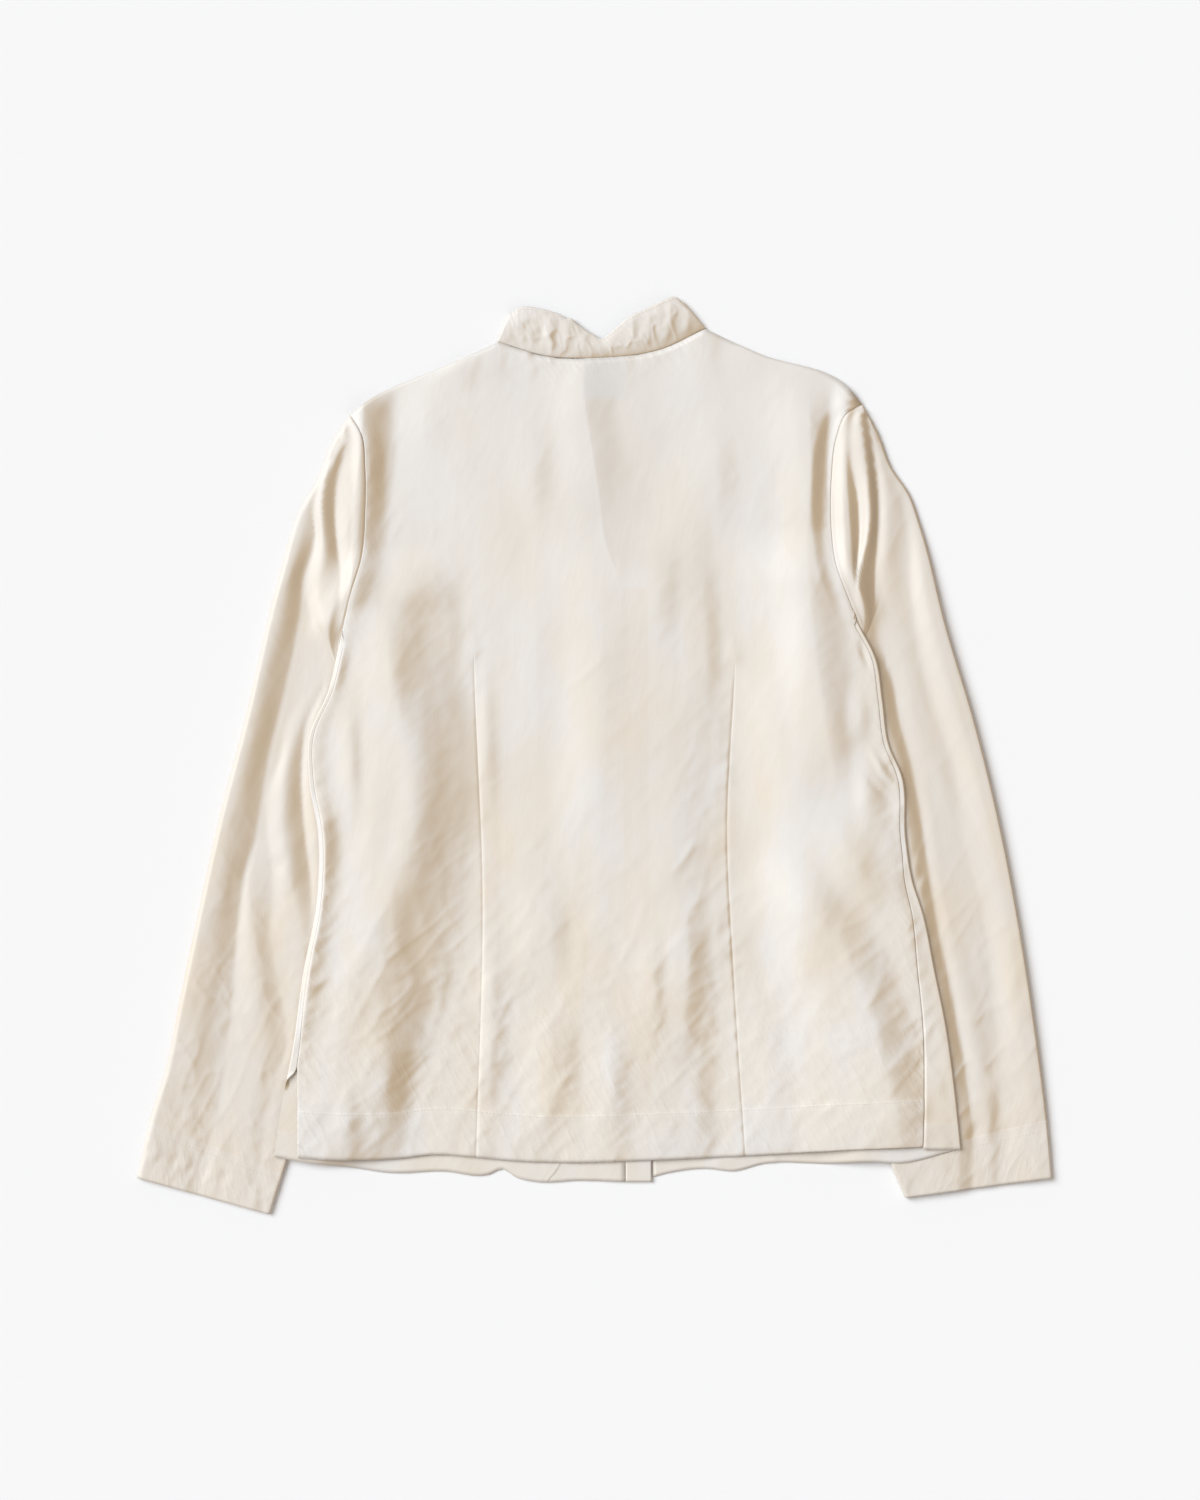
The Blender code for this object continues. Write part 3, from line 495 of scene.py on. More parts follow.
def coons(bottom: Array, top: Array, left: Array, right: Array, rows: Array) -> Array:
    """Fill a four-sided outline: the sum of its two ruled surfaces less its corners' plane.

    Args:
        bottom: Border points from left to right, (columns, 2).
        top: The same along the top.
        left: Border points from bottom to top, (rows, 2).
        right: The same on the right.
        rows: Share of the height at each row.

    Returns:
        The plan grid, (rows, columns, 2).
    """
    run = np.linalg.norm(np.diff(bottom, axis=0), axis=1)
    columns = np.concatenate(([0.0], np.cumsum(run))) / run.sum()
    u = columns[None, :, None]
    v = rows[:, None, None]
    across = (1 - u) * left[:, None, :] + u * right[:, None, :]
    upward = (1 - v) * bottom[None, :, :] + v * top[None, :, :]
    corners = (1 - v) * ((1 - u) * bottom[0] + u * bottom[-1])
    corners += v * ((1 - u) * top[0] + u * top[-1])
    return across + upward - corners


# --- Materials ---

class Shader:
    """A material being made: short calls that add its nodes and join them."""

    def __init__(self, name: str) -> None:
        """Start a material with one Principled shader."""
        self.material = bpy.data.materials.new(name)
        self.material.use_nodes = True
        self.tree = self.material.node_tree
        self.surface = self.tree.nodes["Principled BSDF"]

    def add(self, kind: str, **values: float) -> bpy.types.Node:
        """Add a node and set its inputs by name, with underscores for spaces."""
        node = self.tree.nodes.new(kind)
        for key, value in values.items():
            node.inputs[key.replace("_", " ")].default_value = value
        return node

    def join(self, source: bpy.types.NodeSocket, target: bpy.types.NodeSocket) -> None:
        """Link two sockets."""
        self.tree.links.new(source, target)

    def cloth_place(self) -> bpy.types.NodeSocket:
        """Return the place on the flat cloth, in metres."""
        node = self.tree.nodes.new("ShaderNodeUVMap")
        node.uv_map = "cloth"
        return node.outputs["UV"]

    def object_place(self) -> bpy.types.NodeSocket:
        """Return the place in the row frame, in metres."""
        return self.tree.nodes.new("ShaderNodeTexCoord").outputs["Object"]

    def attribute(self, name: str) -> bpy.types.NodeSocket:
        """Return a number painted on the surface."""
        node = self.tree.nodes.new("ShaderNodeAttribute")
        node.attribute_name = name
        return node.outputs["Fac"]

    def stretched(self, place: bpy.types.NodeSocket, across: float, down: float,
                  lean: float = 0.0) -> bpy.types.NodeSocket:
        """Scale a place to features across and down millimetres wide, leaning by an angle."""
        turned = self.add("ShaderNodeMapping")
        turned.inputs["Rotation"].default_value = (0.0, 0.0, math.radians(lean))
        scaled = self.add("ShaderNodeMapping")
        scaled.inputs["Scale"].default_value = (1000.0 / across, 1000.0 / down, 1000.0 / across)
        self.join(place, turned.inputs["Vector"])
        self.join(turned.outputs["Vector"], scaled.inputs["Vector"])
        return scaled.outputs["Vector"]

    def noise(self, place: bpy.types.NodeSocket, detail: float = 2.0, scale: float = 1.0,
              ridge: bool = False) -> bpy.types.NodeSocket:
        """Add cloudy noise, or thin ridges."""
        node = self.add("ShaderNodeTexNoise", Scale=scale, Detail=detail, Roughness=0.55)
        if ridge:
            node.noise_type = "RIDGED_MULTIFRACTAL"
            node.inputs["Offset"].default_value = 0.9
            node.inputs["Gain"].default_value = 1.6
        self.join(place, node.inputs["Vector"])
        return node.outputs["Fac"]

    def ramp(self, value: bpy.types.NodeSocket, start: float, end: float, low: float,
             high: float) -> bpy.types.NodeSocket:
        """Map start..end to low..high and hold the ends."""
        node = self.add("ShaderNodeMapRange", From_Min=start, From_Max=end, To_Min=low, To_Max=high)
        self.join(value, node.inputs["Value"])
        return node.outputs["Result"]

    def maths(self, operation: str, first: bpy.types.NodeSocket,
              second: bpy.types.NodeSocket | float) -> bpy.types.NodeSocket:
        """Combine two numbers."""
        node = self.tree.nodes.new("ShaderNodeMath")
        node.operation = operation
        self.join(first, node.inputs[0])
        if isinstance(second, float):
            node.inputs[1].default_value = second
        else:
            self.join(second, node.inputs[1])
        return node.outputs[0]

    def tint(self, factor: bpy.types.NodeSocket, low: bpy.types.NodeSocket | tuple,
             high: tuple) -> bpy.types.NodeSocket:
        """Mix two colours."""
        node = self.tree.nodes.new("ShaderNodeMix")
        node.data_type = "RGBA"
        self.join(factor, node.inputs["Factor"])
        if isinstance(low, tuple):
            node.inputs["A"].default_value = low
            for socket in node.inputs:
                if socket.name == "A" and socket.type == "RGBA":
                    socket.default_value = low
        else:
            for socket in node.inputs:
                if socket.name == "A" and socket.type == "RGBA":
                    self.join(low, socket)
        for socket in node.inputs:
            if socket.name == "B" and socket.type == "RGBA":
                socket.default_value = high
        for socket in node.outputs:
            if socket.name == "Result" and socket.type == "RGBA":
                return socket
        raise RuntimeError("the Mix node has no colour result")

    def bump(self, height: bpy.types.NodeSocket, depth_mm: float, strength: float = 1.0,
             below: bpy.types.NodeSocket | None = None) -> bpy.types.NodeSocket:
        """Raise the surface by a height of 0 to 1, on top of another bump."""
        node = self.add("ShaderNodeBump", Strength=strength, Distance=depth_mm * MM)
        self.join(height, node.inputs["Height"])
        if below is not None:
            self.join(below, node.inputs["Normal"])
        return node.outputs["Normal"]


@dataclass(frozen=True)
class SilkSatin:
    """Cream silk satin: a soft even sheen over a fine weave, with faint press creases, painted shade on
    slopes turned from the light and over the open neck, and painted light toward the collar.
    """

    colour: tuple[float, float, float, float] = (0.760, 0.678, 0.566, 1.0)
    pale: tuple[float, float, float, float] = (0.755, 0.722, 0.680, 1.0)
    warm: tuple[float, float, float, float] = (0.690, 0.580, 0.455, 1.0)
    cool: tuple[float, float, float, float] = (0.655, 0.655, 0.645, 1.0)
    # deep: colour of painted shade on slopes turned from the light and on the sleeves' and collar's own shade
    deep: tuple[float, float, float, float] = (0.545, 0.405, 0.245, 1.0)
    # painted shade: the darker colour of the single ply over the open neck, with shadow under it
    single_ply_shade: tuple[float, float, float, float] = (0.640, 0.585, 0.520, 1.0)
    roughness: float = 0.60
    sheen: float = 0.10

    def build(self) -> bpy.types.Material:
        """Make the material."""
        shader = Shader("silk_satin")
        place = shader.cloth_place()
        clouds = shader.noise(shader.stretched(place, 55.0, 120.0), detail=2.0)
        streaks = shader.noise(shader.stretched(place, 7.0, 90.0, 3.0), detail=2.0)
        colour = shader.tint(shader.ramp(clouds, 0.35, 0.65, 0.0, 1.0), self.colour, self.pale)
        colour = shader.tint(shader.ramp(streaks, 0.35, 0.75, 0.0, 0.08), colour, self.warm)
        # painted light: the colour grows paler and cooler toward the collar, on the side the light comes from
        split = shader.tree.nodes.new("ShaderNodeSeparateXYZ")
        shader.join(shader.object_place(), split.inputs["Vector"])
        colour = shader.tint(shader.ramp(split.outputs["Y"], -0.05, 0.30, 0.0, 0.75), colour, self.pale)
        # painted shade over the open neck, where only shadow lies under the single ply
        open_neck = shader.maths("MULTIPLY", shader.ramp(shader.attribute("open_neck"), 0.46, 0.54, 0.0, 0.6),
                                 shader.attribute("open_strength"))
        colour = shader.tint(open_neck, colour, self.single_ply_shade)
        placket = shader.ramp(shader.attribute("placket"), 0.44, 0.56, 0.0, 0.16)
        colour = shader.tint(placket, colour, self.warm)
        label = shader.ramp(shader.attribute("label"), 0.44, 0.58, 0.0, 0.45)
        colour = shader.tint(label, colour, self.cool)
        # painted shade: slopes turned from the light take the deeper colour
        colour = shader.tint(shader.attribute("turned"), colour, self.deep)
        band = shader.ramp(shader.attribute("band"), 0.48, 0.52, 0.0, 0.25)
        colour = shader.tint(band, colour, self.pale)
        shader.join(colour, shader.surface.inputs["Base Color"])
        rough = shader.ramp(clouds, 0.3, 0.7, self.roughness - 0.04, self.roughness + 0.04)
        shader.join(rough, shader.surface.inputs["Roughness"])
        slubs = shader.noise(shader.stretched(place, 0.9, 14.0), detail=3.0)
        weft = shader.noise(shader.stretched(place, 9.0, 0.7), detail=2.0)
        creases = shader.noise(shader.stretched(place, 9.0, 34.0, 14.0), detail=4.0, ridge=True)
        crossed = shader.noise(shader.stretched(place, 8.0, 26.0, -38.0), detail=4.0, ridge=True)
        crumple = shader.attribute("crumple")
        deep = shader.maths("MULTIPLY", crossed, crumple)
        seam = shader.ramp(shader.attribute("seam"), 0.955, 1.0, 1.0, 0.0)
        dart = shader.ramp(shader.attribute("dart"), 0.93, 1.0, 1.0, 0.0)
        step = shader.ramp(shader.attribute("band"), 0.48, 0.52, 0.0, 1.0)
        normal = shader.bump(creases, 0.03)
        normal = shader.bump(deep, 0.3, below=normal)
        normal = shader.bump(seam, 0.04, below=normal)
        normal = shader.bump(dart, 0.12, below=normal)
        normal = shader.bump(step, 0.12, below=normal)
        normal = shader.bump(slubs, 0.020, below=normal)
        normal = shader.bump(weft, 0.014, below=normal)
        shader.join(normal, shader.surface.inputs["Normal"])
        shader.surface.inputs["Sheen Weight"].default_value = self.sheen
        shader.surface.inputs["Sheen Roughness"].default_value = 0.4
        shader.surface.inputs["IOR"].default_value = 1.8
        shader.surface.inputs["Specular IOR Level"].default_value = 0.8
        return shader.material


@dataclass(frozen=True)
class WovenRibbon:
    """A blank cool-white woven ribbon."""

    colour: tuple[float, float, float, float] = (0.66, 0.69, 0.71, 1.0)
    rib: tuple[float, float, float, float] = (0.56, 0.60, 0.63, 1.0)

    def build(self) -> bpy.types.Material:
        """Make the material."""
        shader = Shader("woven_ribbon")
        place = shader.cloth_place()
        ribs = shader.noise(shader.stretched(place, 0.5, 6.0), detail=1.0)
        picks = shader.noise(shader.stretched(place, 5.0, 0.4), detail=1.0)
        colour = shader.tint(shader.ramp(ribs, 0.4, 0.6, 0.0, 1.0), self.colour, self.rib)
        shader.join(colour, shader.surface.inputs["Base Color"])
        rough = shader.ramp(picks, 0.3, 0.7, 0.45, 0.6)
        shader.join(rough, shader.surface.inputs["Roughness"])
        normal = shader.bump(ribs, 0.05, below=shader.bump(picks, 0.05))
        shader.join(normal, shader.surface.inputs["Normal"])
        return shader.material


@dataclass(frozen=True)
class Pearl:
    """Polished pearl with a faint cloudy play of colour."""

    light: tuple[float, float, float, float] = (0.86, 0.83, 0.76, 1.0)
    rose: tuple[float, float, float, float] = (0.80, 0.74, 0.70, 1.0)
    green: tuple[float, float, float, float] = (0.74, 0.79, 0.74, 1.0)

    def build(self) -> bpy.types.Material:
        """Make the material."""
        shader = Shader("button_pearl")
        place = shader.object_place()
        bands = shader.noise(shader.stretched(place, 2.5, 9.0, 30.0), detail=3.0)
        clouds = shader.noise(shader.stretched(place, 6.0, 4.0, -20.0), detail=2.0)
        colour = shader.tint(shader.ramp(bands, 0.35, 0.65, 0.0, 0.8), self.light, self.rose)
        colour = shader.tint(shader.ramp(clouds, 0.45, 0.7, 0.0, 0.6), colour, self.green)
        shader.join(colour, shader.surface.inputs["Base Color"])
        rough = shader.ramp(bands, 0.3, 0.7, 0.16, 0.28)
        shader.join(rough, shader.surface.inputs["Roughness"])
        shader.join(shader.bump(clouds, 0.02), shader.surface.inputs["Normal"])
        shader.surface.inputs["Coat Weight"].default_value = 0.35
        shader.surface.inputs["Coat Roughness"].default_value = 0.1
        return shader.material


@dataclass(frozen=True)
class SewingThread:
    """Twisted cream sewing thread."""

    colour: tuple[float, float, float, float] = (0.80, 0.745, 0.665, 1.0)
    shade: tuple[float, float, float, float] = (0.62, 0.55, 0.46, 1.0)

    def build(self) -> bpy.types.Material:
        """Make the material."""
        shader = Shader("sewing_thread")
        twist = shader.noise(shader.stretched(shader.object_place(), 0.25, 0.9, 35.0), detail=1.0)
        colour = shader.tint(shader.ramp(twist, 0.4, 0.65, 0.0, 0.7), self.colour, self.shade)
        shader.join(colour, shader.surface.inputs["Base Color"])
        rough = shader.ramp(twist, 0.3, 0.7, 0.45, 0.6)
        shader.join(rough, shader.surface.inputs["Roughness"])
        shader.join(shader.bump(twist, 0.04), shader.surface.inputs["Normal"])
        return shader.material


@dataclass(frozen=True)
class PaleFloor:
    """A plain pale surface."""

    colour: tuple[float, float, float, float] = (0.90, 0.90, 0.90, 1.0)

    def build(self) -> bpy.types.Material:
        """Make the material."""
        shader = Shader("pale_floor")
        clouds = shader.noise(shader.stretched(shader.object_place(), 400.0, 400.0), detail=1.0)
        rough = shader.ramp(clouds, 0.3, 0.7, 0.85, 0.95)
        shader.join(rough, shader.surface.inputs["Roughness"])
        shader.surface.inputs["Base Color"].default_value = self.colour
        shader.surface.inputs["Specular IOR Level"].default_value = 0.1
        return shader.material


@dataclass(frozen=True)
class Wardrobe:
    """The finishes that the pieces share."""

    silk: bpy.types.Material
    ribbon: bpy.types.Material
    pearl: bpy.types.Material
    thread: bpy.types.Material

    @classmethod
    def build(cls) -> Wardrobe:
        """Make each finish once."""
        return cls(silk=SilkSatin().build(), ribbon=WovenRibbon().build(), pearl=Pearl().build(),
                   thread=SewingThread().build())


# --- Meshes ---

@dataclass
class Surface:
    """A grid of points with its place on the flat cloth and its painted numbers.

    Points are (rows, columns, 3) in millimetres. A closed surface joins its last column to
    its first; its cloth places then have one column more than its points. Shade is the share
    of painted shade, the deeper colour, where the cloth is level.
    """

    points: Array
    cloth: Array
    closed: bool = False
    flipped: bool = False
    shade: float = 0.0
    paint: dict[str, Array] = field(default_factory=dict)

    def mesh(self, name: str) -> bpy.types.Mesh:
        """Put the grid into a mesh of quads."""
        rows, columns = self.points.shape[:2]
        span = columns if self.closed else columns - 1
        row, column = np.meshgrid(np.arange(rows - 1), np.arange(span), indexing="ij")
        following = (column + 1) % columns
        corners = np.stack([row * columns + column, row * columns + following,
                            (row + 1) * columns + following, (row + 1) * columns + column], axis=-1)
        places = np.stack([self.cloth[:-1, :span], self.cloth[:-1, 1:span + 1],
                           self.cloth[1:, 1:span + 1], self.cloth[1:, :span]], axis=2)
        corners, places = corners.reshape(-1, 4), places.reshape(-1, 4, 2)
        if self.flipped:
            corners, places = corners[:, ::-1], places[:, ::-1]
        mesh = bpy.data.meshes.new(name)
        mesh.vertices.add(rows * columns)
        mesh.vertices.foreach_set("co", (self.points * MM).astype(np.float32).ravel())
        mesh.loops.add(corners.size)
        mesh.loops.foreach_set("vertex_index", corners.astype(np.int32).ravel())
        mesh.polygons.add(len(corners))
        mesh.polygons.foreach_set("loop_start", np.arange(0, corners.size, 4, dtype=np.int32))
        mesh.update(calc_edges=True)
        mesh.validate()
        layer = mesh.uv_layers.new(name="cloth")
        layer.data.foreach_set("uv", (places * MM).astype(np.float32).ravel())
        paint = dict(self.paint)
        # painted shade: each point's share of the deeper colour, from its slope against the light
        paint["turned"] = self.turned()
        for key, values in paint.items():
            painted = mesh.attributes.new(key, "FLOAT", "POINT")
            painted.data.foreach_set("value", values.astype(np.float32).ravel())
        mesh.shade_smooth()
        return mesh

    def turned(self) -> Array:
        """Return the painted shade: how much the cloth falls away from the light, to the lower
        right, where its colour is painted deeper.

        It is the piece's own painted shade on the level and full at a slope of about one in four.
        """
        normal = self.normals()
        normal = normal * np.where(normal[..., 2:] < 0.0, -1.0, 1.0)
        away = (AWAY_FROM_LIGHT[0] * normal[..., 0] + AWAY_FROM_LIGHT[1] * normal[..., 1]) / np.maximum(normal[..., 2], 0.3)
        return self.shade + (FULL_PAINTED_SHADE - self.shade) * smoothstep(away, 0.0, PAINTED_SHADE_SLOPE)

    def normals(self) -> Array:
        """Return the unit normal at each point, from the grid's own differences."""
        down = np.gradient(self.points, axis=0)
        over = np.gradient(self.points, axis=1)
        normal = np.cross(over, down)
        return normal / np.maximum(np.linalg.norm(normal, axis=-1, keepdims=True), 1e-9)


Made = tuple[bpy.types.Object, Surface]


def cloth_piece(name: str, surface: Surface, material: bpy.types.Material, node: str,
                wall: float = THREAD_WALL) -> bpy.types.Object:
    """Make a cloth surface into a thin shell that stands for a CAD node.

    Args:
        name: The piece's name.
        surface: Its mid-surface.
        material: Its finish.
        node: The CAD node that it replaces.
        wall: Thickness in millimetres.

    Returns:
        The piece, riding on the blouse.
    """
    obj = bpy.data.objects.new(name + "_cloth", surface.mesh(name + "_cloth"))
    obj.data.materials.append(material)
    bpy.context.scene.collection.objects.link(obj)
    shell = obj.modifiers.new("wall", "SOLIDIFY")
    shell.thickness = wall * MM
    shell.offset = 0.0
    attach(obj, "root")
    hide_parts(node)
    return obj


def loose_piece(name: str, mesh: bpy.types.Mesh, material: bpy.types.Material) -> bpy.types.Object:
    """Make a mesh in the row frame into a small piece that rides on the blouse."""
    obj = bpy.data.objects.new(name, mesh)
    obj.data.materials.append(material)
    bpy.context.scene.collection.objects.link(obj)
    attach(obj, "root")
    return obj


@dataclass(frozen=True)
class StitchRun:
    """A run of machine stitches along a line of surface points.

    Each stitch is a short six-sided rod with pointed ends that dips into the cloth at both.
    """

    length: float = 2.1
    gap: float = 0.7
    radius: float = 0.16
    sides: int = 6

    def mesh(self, name: str, lines: list[tuple[Array, Array]]) -> bpy.types.Mesh:
        """Build all the stitches of some lines.

        Args:
            name: The mesh's name.
            lines: Pairs of points and unit normals along a line, each (n, 3).

        Returns:
            One mesh with every stitch, in metres.
        """
        rods = [self.rods(points, normals) for points, normals in lines]
        vertices = np.concatenate(rods)
        count = len(vertices)
        rings = vertices.shape[1]
        flat = vertices.reshape(-1, 3)
        ring, side = np.meshgrid(np.arange(rings - 1), np.arange(self.sides), indexing="ij")
        after = (side + 1) % self.sides
        quads = np.stack([ring * self.sides + side, ring * self.sides + after,
                          (ring + 1) * self.sides + after, (ring + 1) * self.sides + side], axis=-1)
        quads = quads.reshape(-1, 4)
        start = np.arange(count)[:, None, None] * rings * self.sides
        faces = (start + quads[None]).reshape(-1, 4)
        mesh = bpy.data.meshes.new(name)
        mesh.from_pydata((flat * MM).tolist(), [], faces.tolist())
        mesh.validate()
        mesh.shade_smooth()
        return mesh

    def rods(self, points: Array, normals: Array) -> Array:
        """Return the stitches' vertices, (stitches, rings, sides, 3)."""
        steps = np.linalg.norm(np.diff(points, axis=0), axis=1)
        station = np.concatenate(([0.0], np.cumsum(steps)))
        count = max(1, int(station[-1] / (self.length + self.gap)))
        starts = np.arange(count) * (self.length + self.gap)
        shares = np.array((0.0, 0.12, 0.5, 0.88, 1.0))
        widths = np.array((0.25, 0.8, 1.0, 0.8, 0.25)) * self.radius
        rises = np.array((-0.5, 0.35, 0.9, 0.35, -0.5)) * self.radius
        place = starts[:, None] + shares[None, :] * self.length
        centre = np.stack([np.interp(place, station, points[:, k]) for k in range(3)], axis=-1)
        up = np.stack([np.interp(place, station, normals[:, k]) for k in range(3)], axis=-1)
        up /= np.linalg.norm(up, axis=-1, keepdims=True)
        run = centre[:, -1:] - centre[:, :1]
        run /= np.maximum(np.linalg.norm(run, axis=-1, keepdims=True), 1e-9)
        over = np.cross(run, up)
        turn = np.linspace(0.0, 2.0 * np.pi, self.sides, endpoint=False)
        ring = (np.cos(turn)[None, None, :, None] * over[:, :, None, :]
                + np.sin(turn)[None, None, :, None] * up[:, :, None, :])
        centre = centre + rises[None, :, None] * up
        return centre[:, :, None, :] + widths[None, :, None, None] * ring


# --- Body creases ---

ARMHOLE_FOLDS = (
    Fold(((-178, 300), (-180, 235), (-184, 197), (-187, 168), (-186, 140), (-190, 108)),
         4.6, 16, 30, fade=34),
    Fold(((197, 300), (193, 238), (194, 197), (196, 166), (200, 118)),
         3.6, 15, 13, fade=34),
)
BACK_FOLDS = (
    Fold(((-161, 120), (-153, 43), (-142, -27), (-144, -61), (-151, -88), (-165, -123),
          (-177, -157), (-187, -188), (-200, -219), (-213, -241)), 1.7, 46, 34),
    Fold(((-164, 112), (-157, 58), (-153, 4)), 0.8, 28, 20),
    Fold(((-189, 58), (-188, 12), (-187, -27), (-188, -73)), 1.3, 17, 11),
    Fold(((-168, 12), (-171, -50), (-176, -104)), 0.8, 22, 20),
    Fold(((-157, -196), (-159, -258), (-159, -327)), 2, 28, 24),
    Fold(((-115, 139), (-112, 100), (-108, 58)), 0.6, 22, 17),
    Fold(((-187, -242), (-188, -281), (-188, -323)), 1, 15, 13),
    Fold(((-85, 89), (-84, 20), (-83, -57)), 0.7, 6, 13),
    Fold(((-81, -119), (-80, -204), (-81, -273)), 1.1, 11, 20),
    Fold(((-36, -88), (-33, -142), (-34, -188)), 1, 28, 18),
    Fold(((-35, -169), (-33, -227), (-36, -269), (-38, -319)), 2.1, 31, 28),
    Fold(((11, -188), (13, -250), (12, -327)), 1.4, 26, 20),
    Fold(((43, -119), (45, -181), (44, -238)), 1.4, 28, 13),
    Fold(((70, -96), (72, -165), (69, -246)), 1.4, 24, 18),
    Fold(((81, -219), (80, -273), (81, -323)), 1, 18, 17),
    Fold(((-11, 324), (-5, 258), (1, 226), (9, 174)), 1.8, 33, 28),
    Fold(((-47, 274), (-47, 212), (-44, 151)), 1, 24, 20),
    Fold(((-128, 316), (-131, 258), (-128, 197)), 1, 26, 26),
    Fold(((92, 274), (94, 220), (92, 158)), 1.1, 33, 20),
    Fold(((50, 204), (47, 135), (49, 58)), 0.7, 26, 20),
    Fold(((81, 151), (86, 89), (87, 20)), 1, 26, 15),
    Fold(((4, 120), (1, 27), (4, -65)), 0.7, 33, 28),
    Fold(((-42, 151), (-45, 58), (-42, -27)), 0.7, 28, 24),
    Fold(((163, 305), (166, 220), (164, 151), (169, 81), (178, 20), (187, -34)), 2.9, 33, 30),
    Fold(((175, -30), (194, -73), (208, -96), (228, -123)), 2.3, 28, 28),
    Fold(((209, 16), (209, -34), (211, -73)), 1.6, 13, 22),
    Fold(((120, -73), (163, -115), (191, -150), (211, -196), (223, -242), (232, -281),
          (237, -335)), 4.1, 55, 33),
    Fold(((151, -96), (158, -142), (164, -196)), 1.1, 24, 24),
    Fold(((120, -157), (134, -234), (140, -281), (143, -335)), 1.4, 28, 20),
    Fold(((203, 62), (204, 33), (206, 0)), 1.1, 13, 13),
    Fold(((-136, 280), (-107, 298), (-69, 316)), 1.3, 9, 26),
    Fold(((-142, -196), (-119, -211), (-93, -236)), 0.5, 5, 6, 0.6),
    Fold(((-147, -219), (-122, -231), (-97, -258)), 0.4, 5, 6, 0.6),
    Fold(((-134, -157), (-114, -171), (-91, -191)), 0.35, 5, 6, 0.6),
    Fold(((81, -57), (69, -79), (52, -96)), 0.35, 5, 6, 0.6),
    Fold(((-33, 43), (-3, 66), (16, 89)), 0.25, 5, 6, 0.6),
)
SIDE_FOLDS = (
    Fold(((-213, -11), (-211, -73), (-214, -127), (-219, -173), (-225, -227)), 2.4, 6, 20),
    Fold(((-192, 97), (-199, 67), (-208, 39)), 1.2, 9, 11),
    Fold(((208, 12), (217, -5), (223, -15), (238, -28)), 1.2, 5, 6, 0.6),
    Fold(((204, -5), (214, -22), (224, -31), (238, -37)), -0.7, 5, 6, 0.6),
    Fold(((203, 92), (207, 77), (214, 61)), -0.9, 5, 5, 0.6),
)
BODY_PUCKERS = (
    Puckers(((-74, 318), (-36, 307), (4, 306), (50, 312), (85, 328)), 0.55, 6.0, 9.0, 3),
    Puckers(((-216, -10), (-209, -60), (-210, -110), (-220, -170), (-229, -228)), 0.6, 9.0, 11.0, 5, 0.6),
    Puckers(((224, 20), (233, -16), (236, -64), (240, -100), (250, -140)), 0.6, 9.0, 11.0, 9, -0.6),
    Puckers(((244, -165), (252, -215), (255, -262), (252, -302)), 0.6, 10.0, 12.0, 11, -0.5),
    Puckers(((-93, 110), (-91, 20), (-86, -107), (-91, -309)), 0.30, 8.0, 7.0, 13, 0.8),
    Puckers(((108, 110), (102, -60), (107, -168), (116, -308)), 0.30, 8.0, 7.0, 17, -0.8),
    Puckers(((-176, 240), (-176, 190), (-182, 140), (-196, 85)), 0.35, 8.0, 9.0, 19, 0.4),
    Puckers(((188, 250), (182, 200), (185, 148), (203, 100)), 0.35, 8.0, 9.0, 23, -0.4),
)


def inside_body(x: Array, y: Array) -> Array:
    """Return the distance in from the nearer side of the body's silhouette."""
    return np.minimum(x - LEFT.edge_x(y), RIGHT.edge_x(y) - x)


def total_relief(parts: tuple[Fold | Puckers | Streaks, ...], x: Array, y: Array) -> Array:
    """Sum the heights of folds, puckers and streaks."""
    total = np.zeros_like(x)
    for part in parts:
        total += part.relief(x, y)
    return total


@dataclass(frozen=True)
class Streaks:
    """Faint streaks all over a piece: noise drawn out along a lean, in degrees.

    A sharp one rises to narrow crests.
    """

    height: float
    width: float
    length: float
    lean: float
    seed: int
    sharp: bool = True

    def relief(self, x: Array, y: Array, turn: float = 1.0) -> Array:
        """Return the streaks' height at each point, with the lean times turn."""
        noise = grain_noise(x, y, self.width, self.length, turn * self.lean, self.seed)
        return self.height * (ridged(noise) if self.sharp else noise)


WARP_STREAK = Streaks(0.08, 22.0, 150.0, 2.0, 31, sharp=False)
BODY_HOLLOW = Streaks(1.10, 62.0, 130.0, -6.0, 37, sharp=False)
BODY_CREASE = Streaks(0.30, 26.0, 62.0, 28.0, 43)
BODY_FINE = (Streaks(0.24, 17.0, 44.0, -34.0, 47), Streaks(0.20, 12.0, 34.0, 46.0, 53))
FRONT_CREASE = Streaks(0.7, 46.0, 120.0, 9.0, 51)
SLEEVE_GRAIN = Streaks(0.30, 20.0, 90.0, -14.0, 71, sharp=False)
SLEEVE_FINE = (Streaks(0.28, 18.0, 46.0, 34.0, 73), Streaks(0.20, 12.0, 36.0, -26.0, 79))
SLEEVE_UNDER = Streaks(0.7, 30.0, 90.0, -16.0, 77)
COLLAR_GRAIN = Streaks(0.2, 9.0, 14.0, 20.0, 101, sharp=False)
COLLAR_CREASE = Streaks(0.3, 8.0, 18.0, -24.0, 103)


